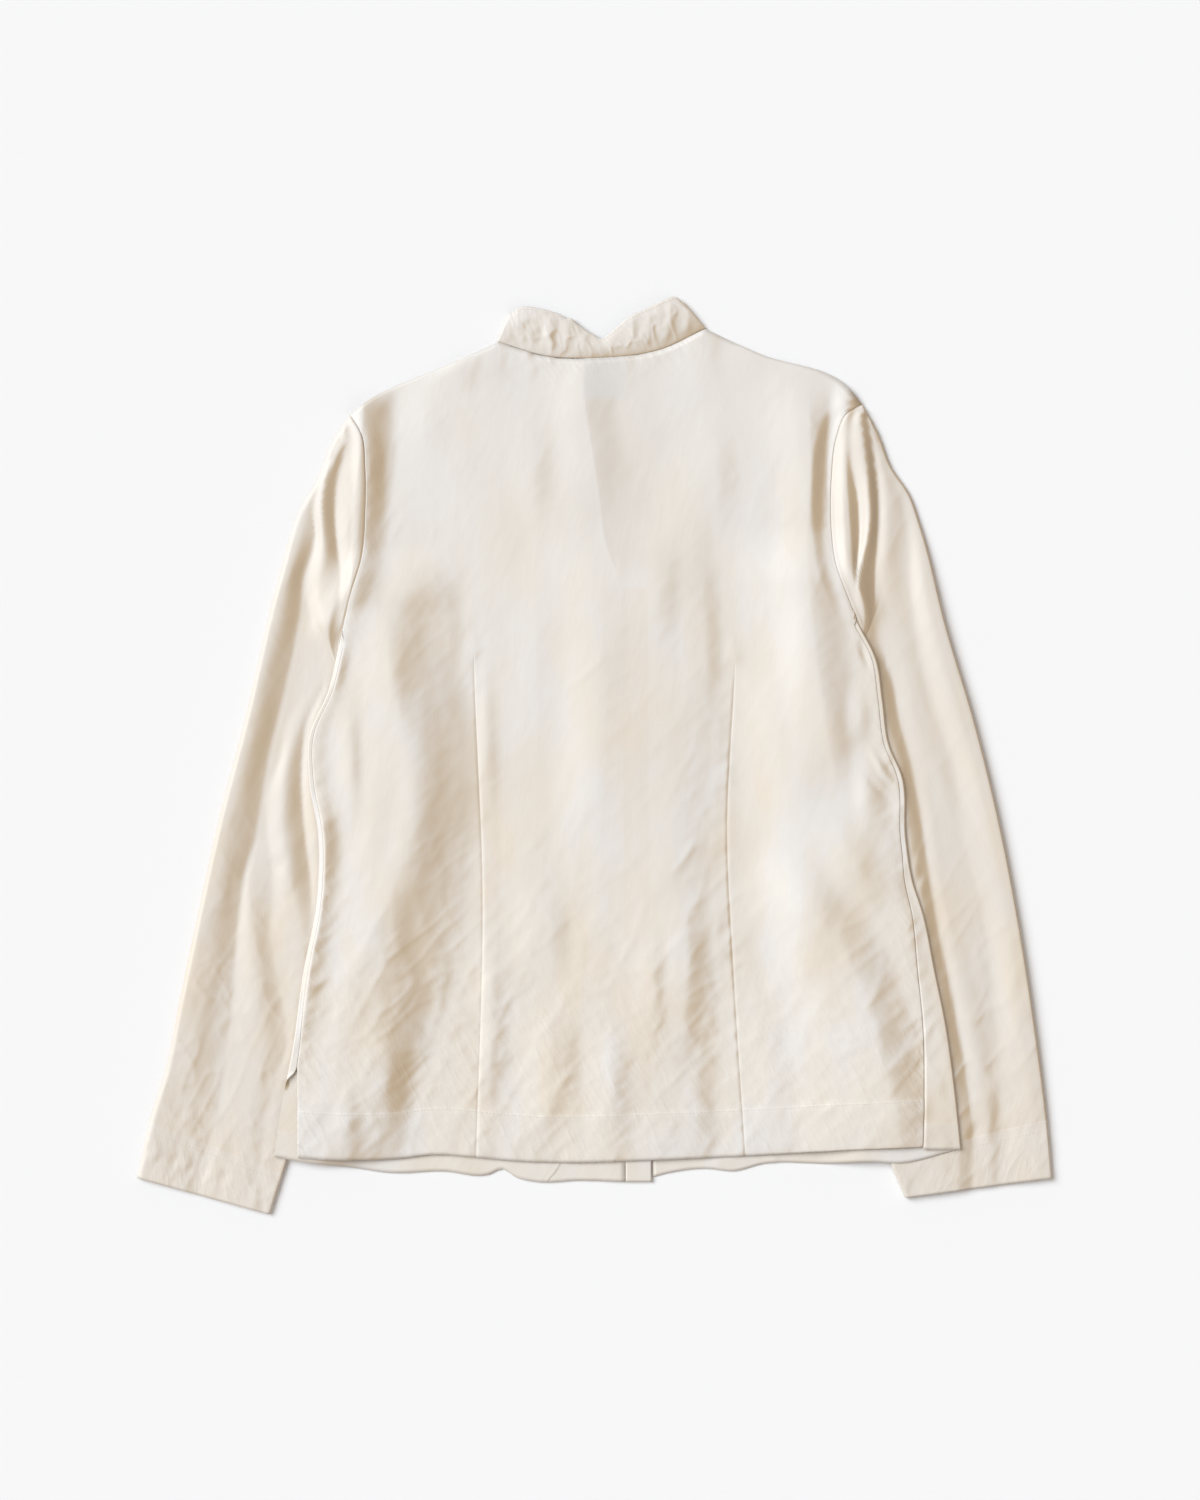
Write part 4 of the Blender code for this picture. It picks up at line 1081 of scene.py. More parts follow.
def body_relief(x: Array, y: Array) -> Array:
    """Return the creases of the back, which run on over the fronts' folded sides.

    The main folds are calmed to nothing at the silhouette. Faint long streaks follow the
    warp, soft hollows lie between them, and short creases cross them toward the hem.
    """
    calm = smoothstep(inside_body(x, y), 2.0, 16.0)
    edge_calm = smoothstep(inside_body(x, y), 0.0, 5.0)
    total = calm * total_relief(BACK_FOLDS, x, y)
    total += edge_calm * (total_relief(SIDE_FOLDS, x, y) + total_relief(BODY_PUCKERS, x, y))
    lower = 0.30 + 0.70 * smoothstep(-y, 20.0, 220.0)
    total += calm * (total_relief((WARP_STREAK, BODY_HOLLOW), x, y) + lower * BODY_CREASE.relief(x, y))
    total += edge_calm * lower * total_relief(BODY_FINE, x, y)
    return total + total_relief(ARMHOLE_FOLDS, x, y)


def back_level(x: Array, y: Array, middle: Array) -> Array:
    """Return the back's level over the fronts, the sleeves and the placket, with its creases."""
    centre_x = placket_edge_x(y) + 0.5 * PLACKET_WIDTH
    bump = 1.0 - smoothstep(np.abs(x - centre_x), BACK_BUMP_HALF, BACK_BUMP_HALF + BACK_BUMP_FADE)
    bump *= 1.0 - smoothstep(y, PLACKET_TOP_Y, PLACKET_TOP_Y + 60.0)
    level = FLOOR_PLY + LIFT + AIR * middle + tuck_rise(x, y, BACK_SPARE) + BACK_BUMP * bump
    return level + body_relief(x, y)


def row_shares(y: Array) -> Array:
    """Return each row's share of the side's height."""
    return (y - y[0]) / (y[-1] - y[0])


def edge_shares(count: int, fine: int, step: float, width: float) -> Array:
    """Return shares from 0 to 1 whose first steps are fine, for columns beside a seam."""
    close = np.arange(fine + 1) * step / width
    rest = np.linspace(close[-1], 1.0, count - fine + 1)
    return np.concatenate([close, rest[1:]])


def near(distance: Array, reach: float) -> Array:
    """Turn a distance into closeness: 1 at the line and 0 from the reach on."""
    return np.clip(1.0 - np.abs(distance) / reach, 0.0, 1.0)


def within(distance: Array) -> Array:
    """Turn a signed distance in millimetres into 0.5 at the line, 1 inside and 0 outside."""
    return np.clip(0.5 + distance / 20.0, 0.0, 1.0)


# --- Pieces ---

@dataclass
class BackPanel:
    """The back: one panel with two stitched darts, a neck seam and a turned hem."""

    body_rows: int = 172
    armhole_rows: int = 62
    side_columns: int = 56
    middle_columns: int = 78
    dart_columns: int = 6
    dart_half: float = 3.0
    dart_height: float = 0.35
    dart_groove: float = 0.2
    hem_depth: float = 36.0
    hem_step: float = 0.25
    seam_dip: float = 0.12
    neckline: Points = ((21, 129), (8, 166), (4, 197), (-3, 243), (-7, 268), (-8, 300), (-8, 330))

    def side(self, half: Half) -> Array:
        """Return the panel's side border: the side seam, then the armhole, where it meets the sleeve."""
        y = half.side_heights(self.body_rows, self.armhole_rows)
        inset = np.interp(y, *np.array(half.seam).T) + SEAM
        sewn = smoothstep(y - half.underarm_y, -1.0, 5.0)
        inset = inset + sewn * (0.5 * SEAM - inset)
        return np.stack([half.edge_x(y) - half.sign * inset, y], axis=-1)

    def dart_line(self, points: Points, offset: float, rows: Array) -> Array:
        """Return a line beside a dart, one point a row."""
        line = smooth_line(points)
        y = line[0, 1] + rows * (line[-1, 1] - line[0, 1])
        return np.stack([x_at(line, y) + offset, y], axis=-1)

    def plan(self) -> Array:
        """Fill the outline with five strips that share the borders along the darts."""
        rows = row_shares(LEFT.side_heights(self.body_rows, self.armhole_rows))
        hem = smooth_line(BACK_HEM)
        top = np.vstack([smooth_line(line) for line in (SHOULDER_LEFT, NECK_BACK, SHOULDER_RIGHT)])
        guides = [self.side(LEFT)]
        for points in (DART_LEFT, DART_RIGHT):
            guides += [self.dart_line(points, offset, rows) for offset in (-self.dart_half, self.dart_half)]
        guides += [self.side(RIGHT)]
        outer = edge_shares(self.side_columns, 7, 0.9, 130.0)
        dart = np.linspace(0.0, 1.0, self.dart_columns + 1)
        middle = np.linspace(0.0, 1.0, self.middle_columns + 1)
        shares = (outer, dart, middle, dart, 1.0 - outer[::-1])
        strips = []
        for left, right, share in zip(guides[:-1], guides[1:], shares):
            bottom = border(hem, left[0, 0] + share * (right[0, 0] - left[0, 0]))
            upper_x = left[-1, 0] + share * (right[-1, 0] - left[-1, 0])
            if len(share) == self.middle_columns + 1:
                for corner in (SHOULDER_LEFT[-1][0], SHOULDER_RIGHT[0][0]):
                    upper_x[np.argmin(np.abs(upper_x - corner))] = corner
            upper = border(top, upper_x)
            for edge, column in ((left, 0), (right, -1)):
                edge[0], edge[-1] = bottom[column], upper[column]
            strip = coons(bottom, upper, left, right, rows)
            strips.append(strip if not strips else strip[:, 1:])
        return np.concatenate(strips, axis=1)

    def darts(self, x: Array, y: Array) -> Array:
        """Return the darts' relief: a stitched groove with its cloth folded to one side.

        The groove is a sharp ditch on the line, the pressed ply lies toward the middle, and
        both end at the tip in a small dimple.
        """
        total = np.zeros_like(x)
        for points, tip, toward in ((DART_LEFT, DART_TIP_LEFT_Y, 1.0),
                                    (DART_RIGHT, DART_TIP_RIGHT_Y, -1.0)):
            offset = toward * (x - x_at(smooth_line(points), y))
            alive = 1.0 - smoothstep(y, tip - 26.0, tip)
            ply = smoothstep(offset, 0.0, 1.8) * (1.0 - smoothstep(offset, 9.0, 15.0))
            ply *= np.interp(y, (-309.0, tip), (1.0, 0.35))
            groove = np.maximum(0.0, 1.0 - np.abs(offset) / 1.6)
            total += alive * (self.dart_height * 0.6 * ply - self.dart_groove * groove)
            dimple = np.exp(-((offset / 5.0) ** 2 + ((y - tip - 3.0) / 9.0) ** 2))
            total += 0.4 * dimple
        return total

    def surface(self) -> Surface:
        """Work out the panel's mid-surface and its painted numbers."""
        plan = self.plan()
        x, y = plan[..., 0], plan[..., 1]
        rows = row_shares(LEFT.side_heights(self.body_rows, self.armhole_rows))
        u = np.linspace(0.0, 1.0, plan.shape[1])[None, :]
        v = rows[:, None]
        middle = np.sqrt(16.0 * u * (1.0 - u) * v * (1.0 - v))
        z = back_level(x, y, middle) + self.darts(x, y)
        beside_neck = np.maximum(SHOULDER_LEFT[-1][0] - x, x - SHOULDER_RIGHT[0][0])
        pressed = smoothstep(v, *SHOULDER_PRESS) * smoothstep(beside_neck, 0.0, NECK_RELEASE)
        z = z - (LIFT - PRESSED) * pressed
        to_side = np.minimum(x - plan[:, :1, 0], plan[:, -1:, 0] - x)
        to_top = plan[-1:, :, 1] - y
        to_seam = np.minimum(np.where((x > 0.0) & (y > -10.0) & (y < 100.0), 30.0, to_side), to_top)
        z = z - self.seam_dip * (1.0 - smoothstep(to_top, 0.0, 2.6)) * (beside_neck < 6.0)
        hem_line = y - plan[:1, :, 1]
        z = z + self.hem_step * (1.0 - smoothstep(hem_line, self.hem_depth - 1.2, self.hem_depth + 1.2))
        z = z - 0.2 * (1.0 - smoothstep(hem_line, 0.0, 1.0))
        paint = {
            "seam": near(to_seam, 30.0),
            "band": within(self.hem_depth - hem_line),
            "dart": self.dart_paint(x, y),
            # open_neck and open_strength mask the painted shade of the single ply over the open neck
            "open_neck": within(self.neck_opening(x, y)),
            "open_strength": (smoothstep(y, PLACKET_TOP_Y, PLACKET_TOP_Y + 30.0)
                              * (1.0 - smoothstep(self.neck_opening(x, y), 4.0, 60.0))),
            "label": within(NeckLabel().distance(x, y)),
            "placket": within(self.placket_distance(x, y)),
            "crumple": (0.5 * near(to_top, 26.0) * (beside_neck < 0.0) + 0.35 * near(to_side, 24.0)
                        + 0.5 * smoothstep(-y, 90.0, 280.0)),
        }
        return Surface(np.stack([x, y, z], axis=-1), plan, paint=paint)

    def dart_paint(self, x: Array, y: Array) -> Array:
        """Return closeness to a dart's stitched line."""
        total = np.zeros_like(x)
        for points, tip in ((DART_LEFT, DART_TIP_LEFT_Y), (DART_RIGHT, DART_TIP_RIGHT_Y)):
            offset = x - x_at(smooth_line(points), y)
            total = np.maximum(total, near(offset, 12.0) * (y < tip))
        return total

    def neck_opening(self, x: Array, y: Array) -> Array:
        """Return the distance inside the open neckline below the panel."""
        return x - x_at(smooth_line(self.neckline), y)

    def placket_distance(self, x: Array, y: Array) -> Array:
        """Return the distance inside the plackets below the panel."""
        inside = x - placket_edge_x(y)
        return np.minimum(np.minimum(inside, PLACKET_WIDTH - inside), PLACKET_TOP_Y - y)

    def build(self, wardrobe: Wardrobe) -> Made:
        """Make the panel."""
        surface = self.surface()
        obj = cloth_piece("back", surface, wardrobe.silk, "back")
        return obj, surface


@dataclass
class Front:
    """One front: flat under the back, folded round the side edge up to its side seam."""

    half: Half
    body_rows: int = 172
    armhole_rows: int = 62
    flat_columns: int = 56
    turn_columns: int = 8
    lip_columns: int = 9
    lip_drop: float = 0.45
    vent_y: tuple[float, float] = (-250.0, -238.0)
    hem_depth: float = 20.0
    crumple: float = 0.15

    def inner_border(self, y_rows: Array) -> Array:
        """Return the placket seam, then the neckline, one point a row."""
        left = self.half.sign < 0
        neckline = smooth_line(NECKLINE_LEFT if left else NECKLINE_RIGHT)
        hem_y = PLACKET_HEM_Y if left else FRONT_HEM_RIGHT[0][1]
        y = hem_y + row_shares(y_rows) * (neckline[-1, 1] - hem_y)
        seam = placket_edge_x(y) + (0.0 if left else PLACKET_WIDTH)
        x = np.where(y < PLACKET_TOP_Y, seam, x_at(neckline, y))
        return np.stack([x + self.half.sign * 0.5 * SEAM, y], axis=-1)

    def level(self, x: Array, y: Array) -> Array:
        """Return the height on the surface, over the sleeve and up to the placket."""
        inner = placket_edge_x(y) + (PLACKET_WIDTH if self.half.sign > 0 else 0.0)
        from_placket = self.half.sign * (x - inner)
        centre = placket_lift(self.half, y) * (1.0 - smoothstep(from_placket, 4.0, 40.0))
        creases = FRONT_CREASE.relief(x, y, self.half.sign)
        creases *= smoothstep(inside_body(x, y), 10.0, 40.0) * smoothstep(from_placket, 2.0, 20.0)
        return FLOOR_PLY + tuck_rise(x, y) + centre + creases

    def surface(self) -> Surface:
        """Work out the front.

        The outer columns follow an arc whose turning angle is the row's roll times half a
        turn, so they lie flat beside the armhole and at an open vent. What is folded over
        carries the back's creases on, and drops under the back's edge at the underarm.
        """
        half, sign = self.half, self.half.sign
        y = half.side_heights(self.body_rows, self.armhole_rows)
        rows = row_shares(y)
        roll = np.interp(y, *np.array(half.roll).T)
        inset = np.interp(y, *np.array(half.seam).T)
        shut = smoothstep(y, *self.vent_y) if sign < 0 else 1.0
        wrap = np.where(roll > 0.5, FLAT_LIP + (inset - FOLD_RADIUS - FLAT_LIP) * shut, FLAT_LIP)
        angle = np.maximum(math.pi * roll, 0.01)
        radius = math.pi * FOLD_RADIUS / angle
        flat_reach = radius * np.sin(angle) + wrap * np.cos(angle)
        reach = np.where(angle < 0.5 * math.pi, flat_reach, radius)
        armhole_gap = np.where(y > half.underarm_y, 0.5 * SEAM, 0.0)
        outer = np.stack([half.edge_x(y) - sign * (reach + armhole_gap), y], axis=-1)
        inner = self.inner_border(y)
        share = np.linspace(0.0, 1.0, self.flat_columns + 1)
        hem = smooth_line(FRONT_HEM_LEFT if sign < 0 else FRONT_HEM_RIGHT)
        shoulder = smooth_line(SHOULDER_LEFT if sign < 0 else SHOULDER_RIGHT)
        bottom = border(hem, inner[0, 0] + share * (outer[0, 0] - inner[0, 0]))
        upper = border(shoulder, inner[-1, 0] + share * (outer[-1, 0] - inner[-1, 0]))
        upper[:, 1] += share * (outer[-1, 1] - upper[-1, 1])
        inner[0], inner[-1], outer[0] = bottom[0], upper[0], bottom[-1]
        plan = coons(bottom, upper, inner, outer, rows)
        z = self.level(plan[..., 0], plan[..., 1])
        flat = np.concatenate([plan, z[..., None]], axis=-1)
        turns = np.linspace(0.0, 1.0, self.turn_columns + 1)[1:]
        lips = np.linspace(0.0, 1.0, self.lip_columns + 1)[1:]
        turn = angle[:, None] * turns[None, :]
        out = np.concatenate([radius[:, None] * np.sin(turn),
                              (radius * np.sin(angle))[:, None]
                              + (wrap * np.cos(angle))[:, None] * lips[None, :]], axis=1)
        up = np.concatenate([radius[:, None] * (1.0 - np.cos(turn)),
                             (radius * (1.0 - np.cos(angle)))[:, None]
                             + (wrap * np.sin(angle))[:, None] * lips[None, :]], axis=1)
        x_out = outer[:, :1] + sign * out
        y_out = np.broadcast_to(outer[:, 1:], x_out.shape)
        over = smoothstep(up / LIFT, 0.5, 1.0) * (roll[:, None] > 0.5)
        under_back = self.lip_drop * smoothstep(y_out - half.underarm_y, -4.0, 0.0)
        z_out = z[:, -1:] + up + over * (body_relief(x_out, y_out) - under_back)
        points = np.concatenate([flat, np.stack([x_out, y_out, z_out], axis=-1)], axis=1)
        run = np.linalg.norm(np.diff(points[..., [0, 2]], axis=1), axis=-1)
        place = np.concatenate([np.zeros((len(points), 1)), np.cumsum(run, axis=1)], axis=1)
        cloth = np.stack([place + 900.0, points[..., 1]], axis=-1)
        hem_line = points[..., 1] - points[:1, :, 1]
        paint = {"band": within(self.hem_depth - hem_line),
                 "crumple": np.full(points.shape[:2], self.crumple)}
        return Surface(points, cloth, flipped=sign < 0, paint=paint)

    def build(self, wardrobe: Wardrobe) -> Made:
        """Make the front."""
        surface = self.surface()
        name = "front_" + self.half.name
        return cloth_piece(name, surface, wardrobe.silk, name), surface


@dataclass
class Placket:
    """One of the two plain bands down the front's centre."""

    half: Half
    rows: int = 230
    columns: int = 14

    def surface(self) -> Surface:
        """Work out the band: level across, and on the right one a little higher at the edges."""
        hem_y = PLACKET_HEM_Y + (RIGHT_HEM_STEP if self.half.sign > 0 else 0.0)
        y = np.linspace(hem_y, PLACKET_TOP_Y, self.rows + 1)[:, None]
        across = np.linspace(0.0, PLACKET_WIDTH - SEAM, self.columns + 1)[None, :]
        x = placket_edge_x(y) + 0.5 * SEAM + across
        x, y = np.broadcast_arrays(x, y)
        z = FLOOR_PLY + placket_lift(self.half, y)
        z = z + 0.10 * grain_noise(x, y, 9.0, 40.0, 0.0, 61 + self.half.sign)
        to_edge = np.minimum(across, PLACKET_WIDTH - SEAM - across) + 0.0 * x
        z = z + 0.2 * (1.0 - smoothstep(to_edge, 0.0, 1.6)) * (self.half.sign > 0)
        return Surface(np.stack([x, y, z], axis=-1), np.stack([x, y], axis=-1),
                       paint={"seam": near(to_edge, 30.0)})

    def build(self, wardrobe: Wardrobe) -> Made:
        """Make the band."""
        surface = self.surface()
        name = "placket_" + self.half.name
        return cloth_piece(name, surface, wardrobe.silk, name), surface


@dataclass
class Sleeve:
    """A sleeve laid flat: a tube whose upper wall follows its crests and valleys."""

    half: Half
    guides: tuple[Guide, ...]
    puckers: tuple[Puckers, ...]
    rings: int = 250
    top_columns: int = 62
    turn_columns: int = 6
    round_columns: int = 7
    floor_columns: int = 40
    floor_round: float = 1.6
    cuff_depth: float = 38.0
    # painted shade: the sleeve's colour is this much deeper even where it lies level
    shade: float = 0.18
    crowded: float = 30.0
    calm_passes: int = 14

    def ring_profile(self, width: Array) -> tuple[Array, Array]:
        """Return each ring's points: their distance from the outer edge and their height.

        The height is 1 on the upper wall, 0 at the edges and -1 on the lower wall, and the
        ends are quarter ellipses.
        """
        inner = width - FOLD_RADIUS
        place, height = [], []
        for angle in np.linspace(0.0, 0.5 * np.pi, self.round_columns + 1):
            place.append(np.full_like(width, self.half.rim_width * (1.0 - np.cos(angle))))
            height.append(np.sin(angle))
        for k in range(1, self.top_columns + 1):
            place.append(self.half.rim_width + (inner - self.half.rim_width) * k / self.top_columns)
            height.append(1.0)
        for angle in np.linspace(0.5 * np.pi, -0.5 * np.pi, self.turn_columns + 1)[1:]:
            place.append(inner + FOLD_RADIUS * np.cos(angle))
            height.append(np.sin(angle))
        for k in range(1, self.floor_columns + 1):
            place.append(inner - (inner - self.floor_round) * k / self.floor_columns)
            height.append(-1.0)
        for angle in np.linspace(-0.5 * np.pi, 0.0, 4)[1:-1]:
            place.append(np.full_like(width, self.floor_round * (1.0 - np.cos(angle))))
            height.append(np.sin(angle))
        return np.stack(place, axis=1), np.array(height)

    def round_the_underarm(self, x: Array, y: Array, clear: Array) -> Array:
        """Move each ring out so that it passes outside the underarm point."""
        sign = self.half.sign
        corner_x, corner_y = self.half.edge[0]
        across = slice(0, self.round_columns + self.top_columns + self.turn_columns // 2 + 1)
        crossing = np.array([np.interp(corner_y, ring_y[across][::-1], ring_x[across][::-1])
                             for ring_x, ring_y in zip(x, y)])
        lack = np.maximum(sign * (corner_x - crossing) + clear, 0.0)
        lack[0] = 0.0
        below = smoothstep(y, np.minimum(y.min(axis=1), corner_y - 1.0)[:, None], corner_y)
        above = 1.0 - smoothstep(y, corner_y, corner_y + CLEAR_FADE)
        return x + sign * lack[:, None] * below * above

    def plan(self) -> tuple[Array, Array, Array, Array]:
        """Return the rings' x and y, their height shares and their share of the length."""
        half, sign = self.half, self.half.sign
        t = np.linspace(0.0, 1.0, self.rings + 1)
        outer = along(smooth_line(half.sleeve_outer), t)
        inner = along(smooth_line(half.sleeve_inner), t)
        width = np.linalg.norm(inner - outer, axis=1)
        place, height = self.ring_profile(width)
        share = place / width[:, None]
        y_line = half.side_heights(22, 60)[22:][::-1]
        armhole_line = np.stack([half.edge_x(y_line), y_line], axis=-1)
        armhole = along(armhole_line, np.clip(share[0], 0.0, 1.0))
        bow = armhole - (outer[0] + share[0][:, None] * (inner[0] - outer[0]))
        plan = outer[:, None, :] + share[..., None] * (inner - outer)[:, None, :]
        plan = plan + ((1.0 - t) ** 3)[:, None, None] * bow[None, :, :]
        x, y = plan[..., 0], plan[..., 1]
        clear = 0.5 * SEAM + CLEAR_GAIN * t
        x = self.round_the_underarm(x, y, clear)
        edge_x = half.edge_x(y)
        least = np.where(y > half.underarm_y, clear[:, None], -np.inf)
        x = edge_x + sign * np.maximum(sign * (x - edge_x), least)
        return x, y, height, place

    def surface(self) -> Surface:
        """Work out the sleeve.

        The upper wall joins its guides. Near the armhole it blends into the crest that the
        back carries on, and it is pressed low where the body lies over it.
        """
        half, sign = self.half, self.half.sign
        x, y, height, place = self.plan()
        edge_x = half.edge_x(y)
        above = y - half.underarm_y
        outside = sign * (x - edge_x)
        creases = between_guides(self.guides, x, y) + total_relief(self.puckers, x, y)
        lower = 0.35 + 0.65 * smoothstep(-y, 40.0, 240.0)
        creases += SLEEVE_GRAIN.relief(x, y, sign)
        creases += lower * sum(part.relief(x, y, sign) for part in SLEEVE_FINE)
        own = smoothstep(outside, 3.0, 12.0)
        own = own + (1.0 - own) * (1.0 - smoothstep(above, 0.0, 16.0))
        creases = own * creases + (1.0 - own) * total_relief(ARMHOLE_FOLDS, x, y)
        covered = 1.0 - smoothstep(outside, COVER_START, COVER_END)
        covered *= 1.0 - smoothstep(above, -2.0, 12.0)
        risen = TUCK_RISE * smoothstep(above, -4.0, 16.0)
        risen *= 1.0 - smoothstep(above, UNDERARM_HOLD, UNDERARM_END)
        creases = np.maximum(creases, -0.4) + risen * (1.0 - smoothstep(outside, 1.0, 30.0))
        upper = FLOOR_PLY + LIFT + np.minimum(creases, 2.7 + 9.0 * (1.0 - covered))
        upper = upper - 0.2 * (1.0 - smoothstep(np.maximum(outside, 0.0), 0.0, 1.8)) * (above > 0.0)
        edge = FLOOR_PLY + FOLD_RADIUS
        upper = self.calm(x, y, upper)
        z = np.where(height >= 0.0, edge + height * (upper - edge), edge + height * FOLD_RADIUS)
        under = SLEEVE_UNDER.relief(x, y, sign)
        z = z + np.where(height <= -1.0, under * smoothstep(place, 4.0, 16.0), 0.0)
        points = np.stack([x, y, z], axis=-1)
        around = np.linalg.norm(np.diff(np.concatenate([points, points[:, :1]], axis=1), axis=1), axis=-1)
        mean = np.concatenate(([0.0], np.cumsum(around.mean(axis=0))))
        down = np.concatenate(([0.0], np.cumsum(np.linalg.norm(np.diff(points[:, 40], axis=0), axis=1))))
        cloth = np.stack(np.broadcast_arrays(mean[None, :] + 1800.0, -down[:, None]), axis=-1)
        to_cuff = np.broadcast_to((down[-1] - down)[:, None], x.shape)
        paint = {"band": within(self.cuff_depth - to_cuff),
                 "seam": near(np.where(above > 0.0, outside, 99.0), 30.0),
                 "crumple": 0.04 + 0.40 * near(to_cuff, 80.0)}
        return Surface(points, cloth, closed=True, flipped=sign < 0, shade=self.shade, paint=paint)

    def calm(self, x: Array, y: Array, z: Array) -> Array:
        """Even out the upper wall's height beside the underarm point, where the rings crowd."""
        corner_x, corner_y = self.half.edge[0]
        close = near(np.hypot(x - corner_x, y - corner_y + 6.0), self.crowded)
        for _ in range(self.calm_passes):
            padded = np.pad(z, 1, mode="edge")
            mean = (padded[:-2, 1:-1] + padded[2:, 1:-1]
                    + padded[1:-1, :-2] + padded[1:-1, 2:]) / 4.0
            z = z + np.minimum(1.0, 2.0 * close) * 0.7 * (mean - z)
        return z

    def build(self, wardrobe: Wardrobe) -> Made:
        """Make the sleeve."""
        surface = self.surface()
        name = "sleeve_" + self.half.name
        return cloth_piece(name, surface, wardrobe.silk, name), surface


def rim_rows(half: Half, table: Rows) -> Rows:
    """Keep a rim's crest inside the sleeve's outline by at least its rounding."""
    outline = smooth_line(half.sleeve_outer)
    sign = half.sign
    return tuple((sign * min(sign * x, sign * float(x_at(outline, y)) - half.rim_width), y, z)
                 for x, y, z in table)


LEFT_SLEEVE_GUIDES = (
    Guide(rim_rows(LEFT, (
        (-194.4, 243, 1.2), (-202.9, 228, 1.7), (-209.8, 212, 2), (-218.3, 197, 0.8), (-232.9, 151, 2.6),
        (-241.4, 120, 3.1), (-257.6, 58, 3.5), (-299.1, -127, 3.5), (-315.3, -188, 3.5),
        (-320.7, -219, 3.1), (-343, -311, 1.9))), 0.0),
    Guide((
        (-193.7, 243, 1.7), (-202.5, 228, 2.2), (-209.4, 212, 2.4), (-215.2, 197, 0.6), (-216, 166, 0.3),
        (-219.1, 151, 0.3), (-224.5, 135, 0.3), (-225.2, 120, 0.3), (-236, 58, 0.3), (-250.6, -3, 0.3),
        (-260.6, -65, 0.2), (-269.1, -96, 0.3), (-273.7, -127, 0.3), (-278.4, -188, 0.3),
        (-292.2, -281, 0.3), (-302.2, -311, 0.4)), 0.85),
    Guide((
        (-193.3, 243, 1.9), (-202.1, 228, 2.3), (-209.1, 212, 2.5), (-214.8, 197, 0.7), (-215.2, 151, 0.3),
        (-223.7, 135, 0.3), (-224.1, 120, 0.3), (-233.7, 58, 0.4), (-255.3, -34, 0.3), (-259.1, -65, 0.4),
        (-265.3, -96, 1.1), (-263.7, -127, 2), (-262.2, -157, 2.3), (-258.3, -188, 2.4), (-254.5, -219, 2),
        (-263.7, -250, 1.2)), 0.1),
    Guide((
        (-192.9, 243, 2), (-201.7, 228, 2.4), (-208.8, 212, 2.5), (-214.4, 197, 0.8), (-214.8, 166, 0.3),
        (-222.9, 135, 0.3), (-222.1, 120, 0.3), (-209.1, 74, 0.5), (-236.8, 27, 0.3), (-242.9, -3, 0.3),
        (-252.9, -34, 0.3), (-251.4, -65, 0.3), (-247.6, -96, 0.5), (-249.1, -127, 0.7),
        (-246.8, -157, 0.8), (-236.8, -219, 0.8), (-253.7, -281, 0.6), (-256, -311, 0.6)), 0.5),
    Guide((
        (-192.5, 243, 2.2), (-208.3, 212, 3), (-209.8, 197, 3.3), (-208.3, 151, 3.3), (-211.4, 120, 2.6),
        (-207.5, 104, 2.5), (-202.1, 74, 1.4), (-213.7, 50, 0.6), (-226.8, 27, 0.8), (-239.1, -34, 2.9),
        (-238.3, -65, 3.1), (-223.7, -157, 2.3), (-231.4, -219, 1.4), (-238.3, -250, 1),
        (-248.3, -311, 0.8)), 0.15),
    Guide((
        (-190.6, 243, 1.9), (-193.7, 228, 1.1), (-197.9, 212, 0.9), (-199.4, 197, 0.9), (-194.7, 126, 0.9),
        (-196, 89, 0.7), (-200.6, 74, 1), (-209.8, 50, 0.5), (-220.6, 27, 0.4), (-224.5, -3, 0.3),
        (-222.1, -65, 0.3), (-218.3, -96, 0.7), (-217.5, -127, 2), (-224.5, -188, 1.7),
        (-234.5, -250, 0.8), (-243.7, -311, 0.7)), 0.9),
    Guide((
        (-177.5, 243, 2.7), (-180.6, 212, 3.4), (-188.3, 166, 3.4), (-184.4, 135, 3), (-192.1, 104, 2.8),
        (-197.5, 74, 1.9), (-205.2, 50, 1.5), (-214.4, 27, 1.7), (-219.1, -3, 1.9), (-212.9, -65, 2.2),
        (-212.1, -96, 1.7), (-214.4, -127, 2.2), (-218.3, -157, 2.1), (-232.2, -250, 0.9)), 0.1),
)
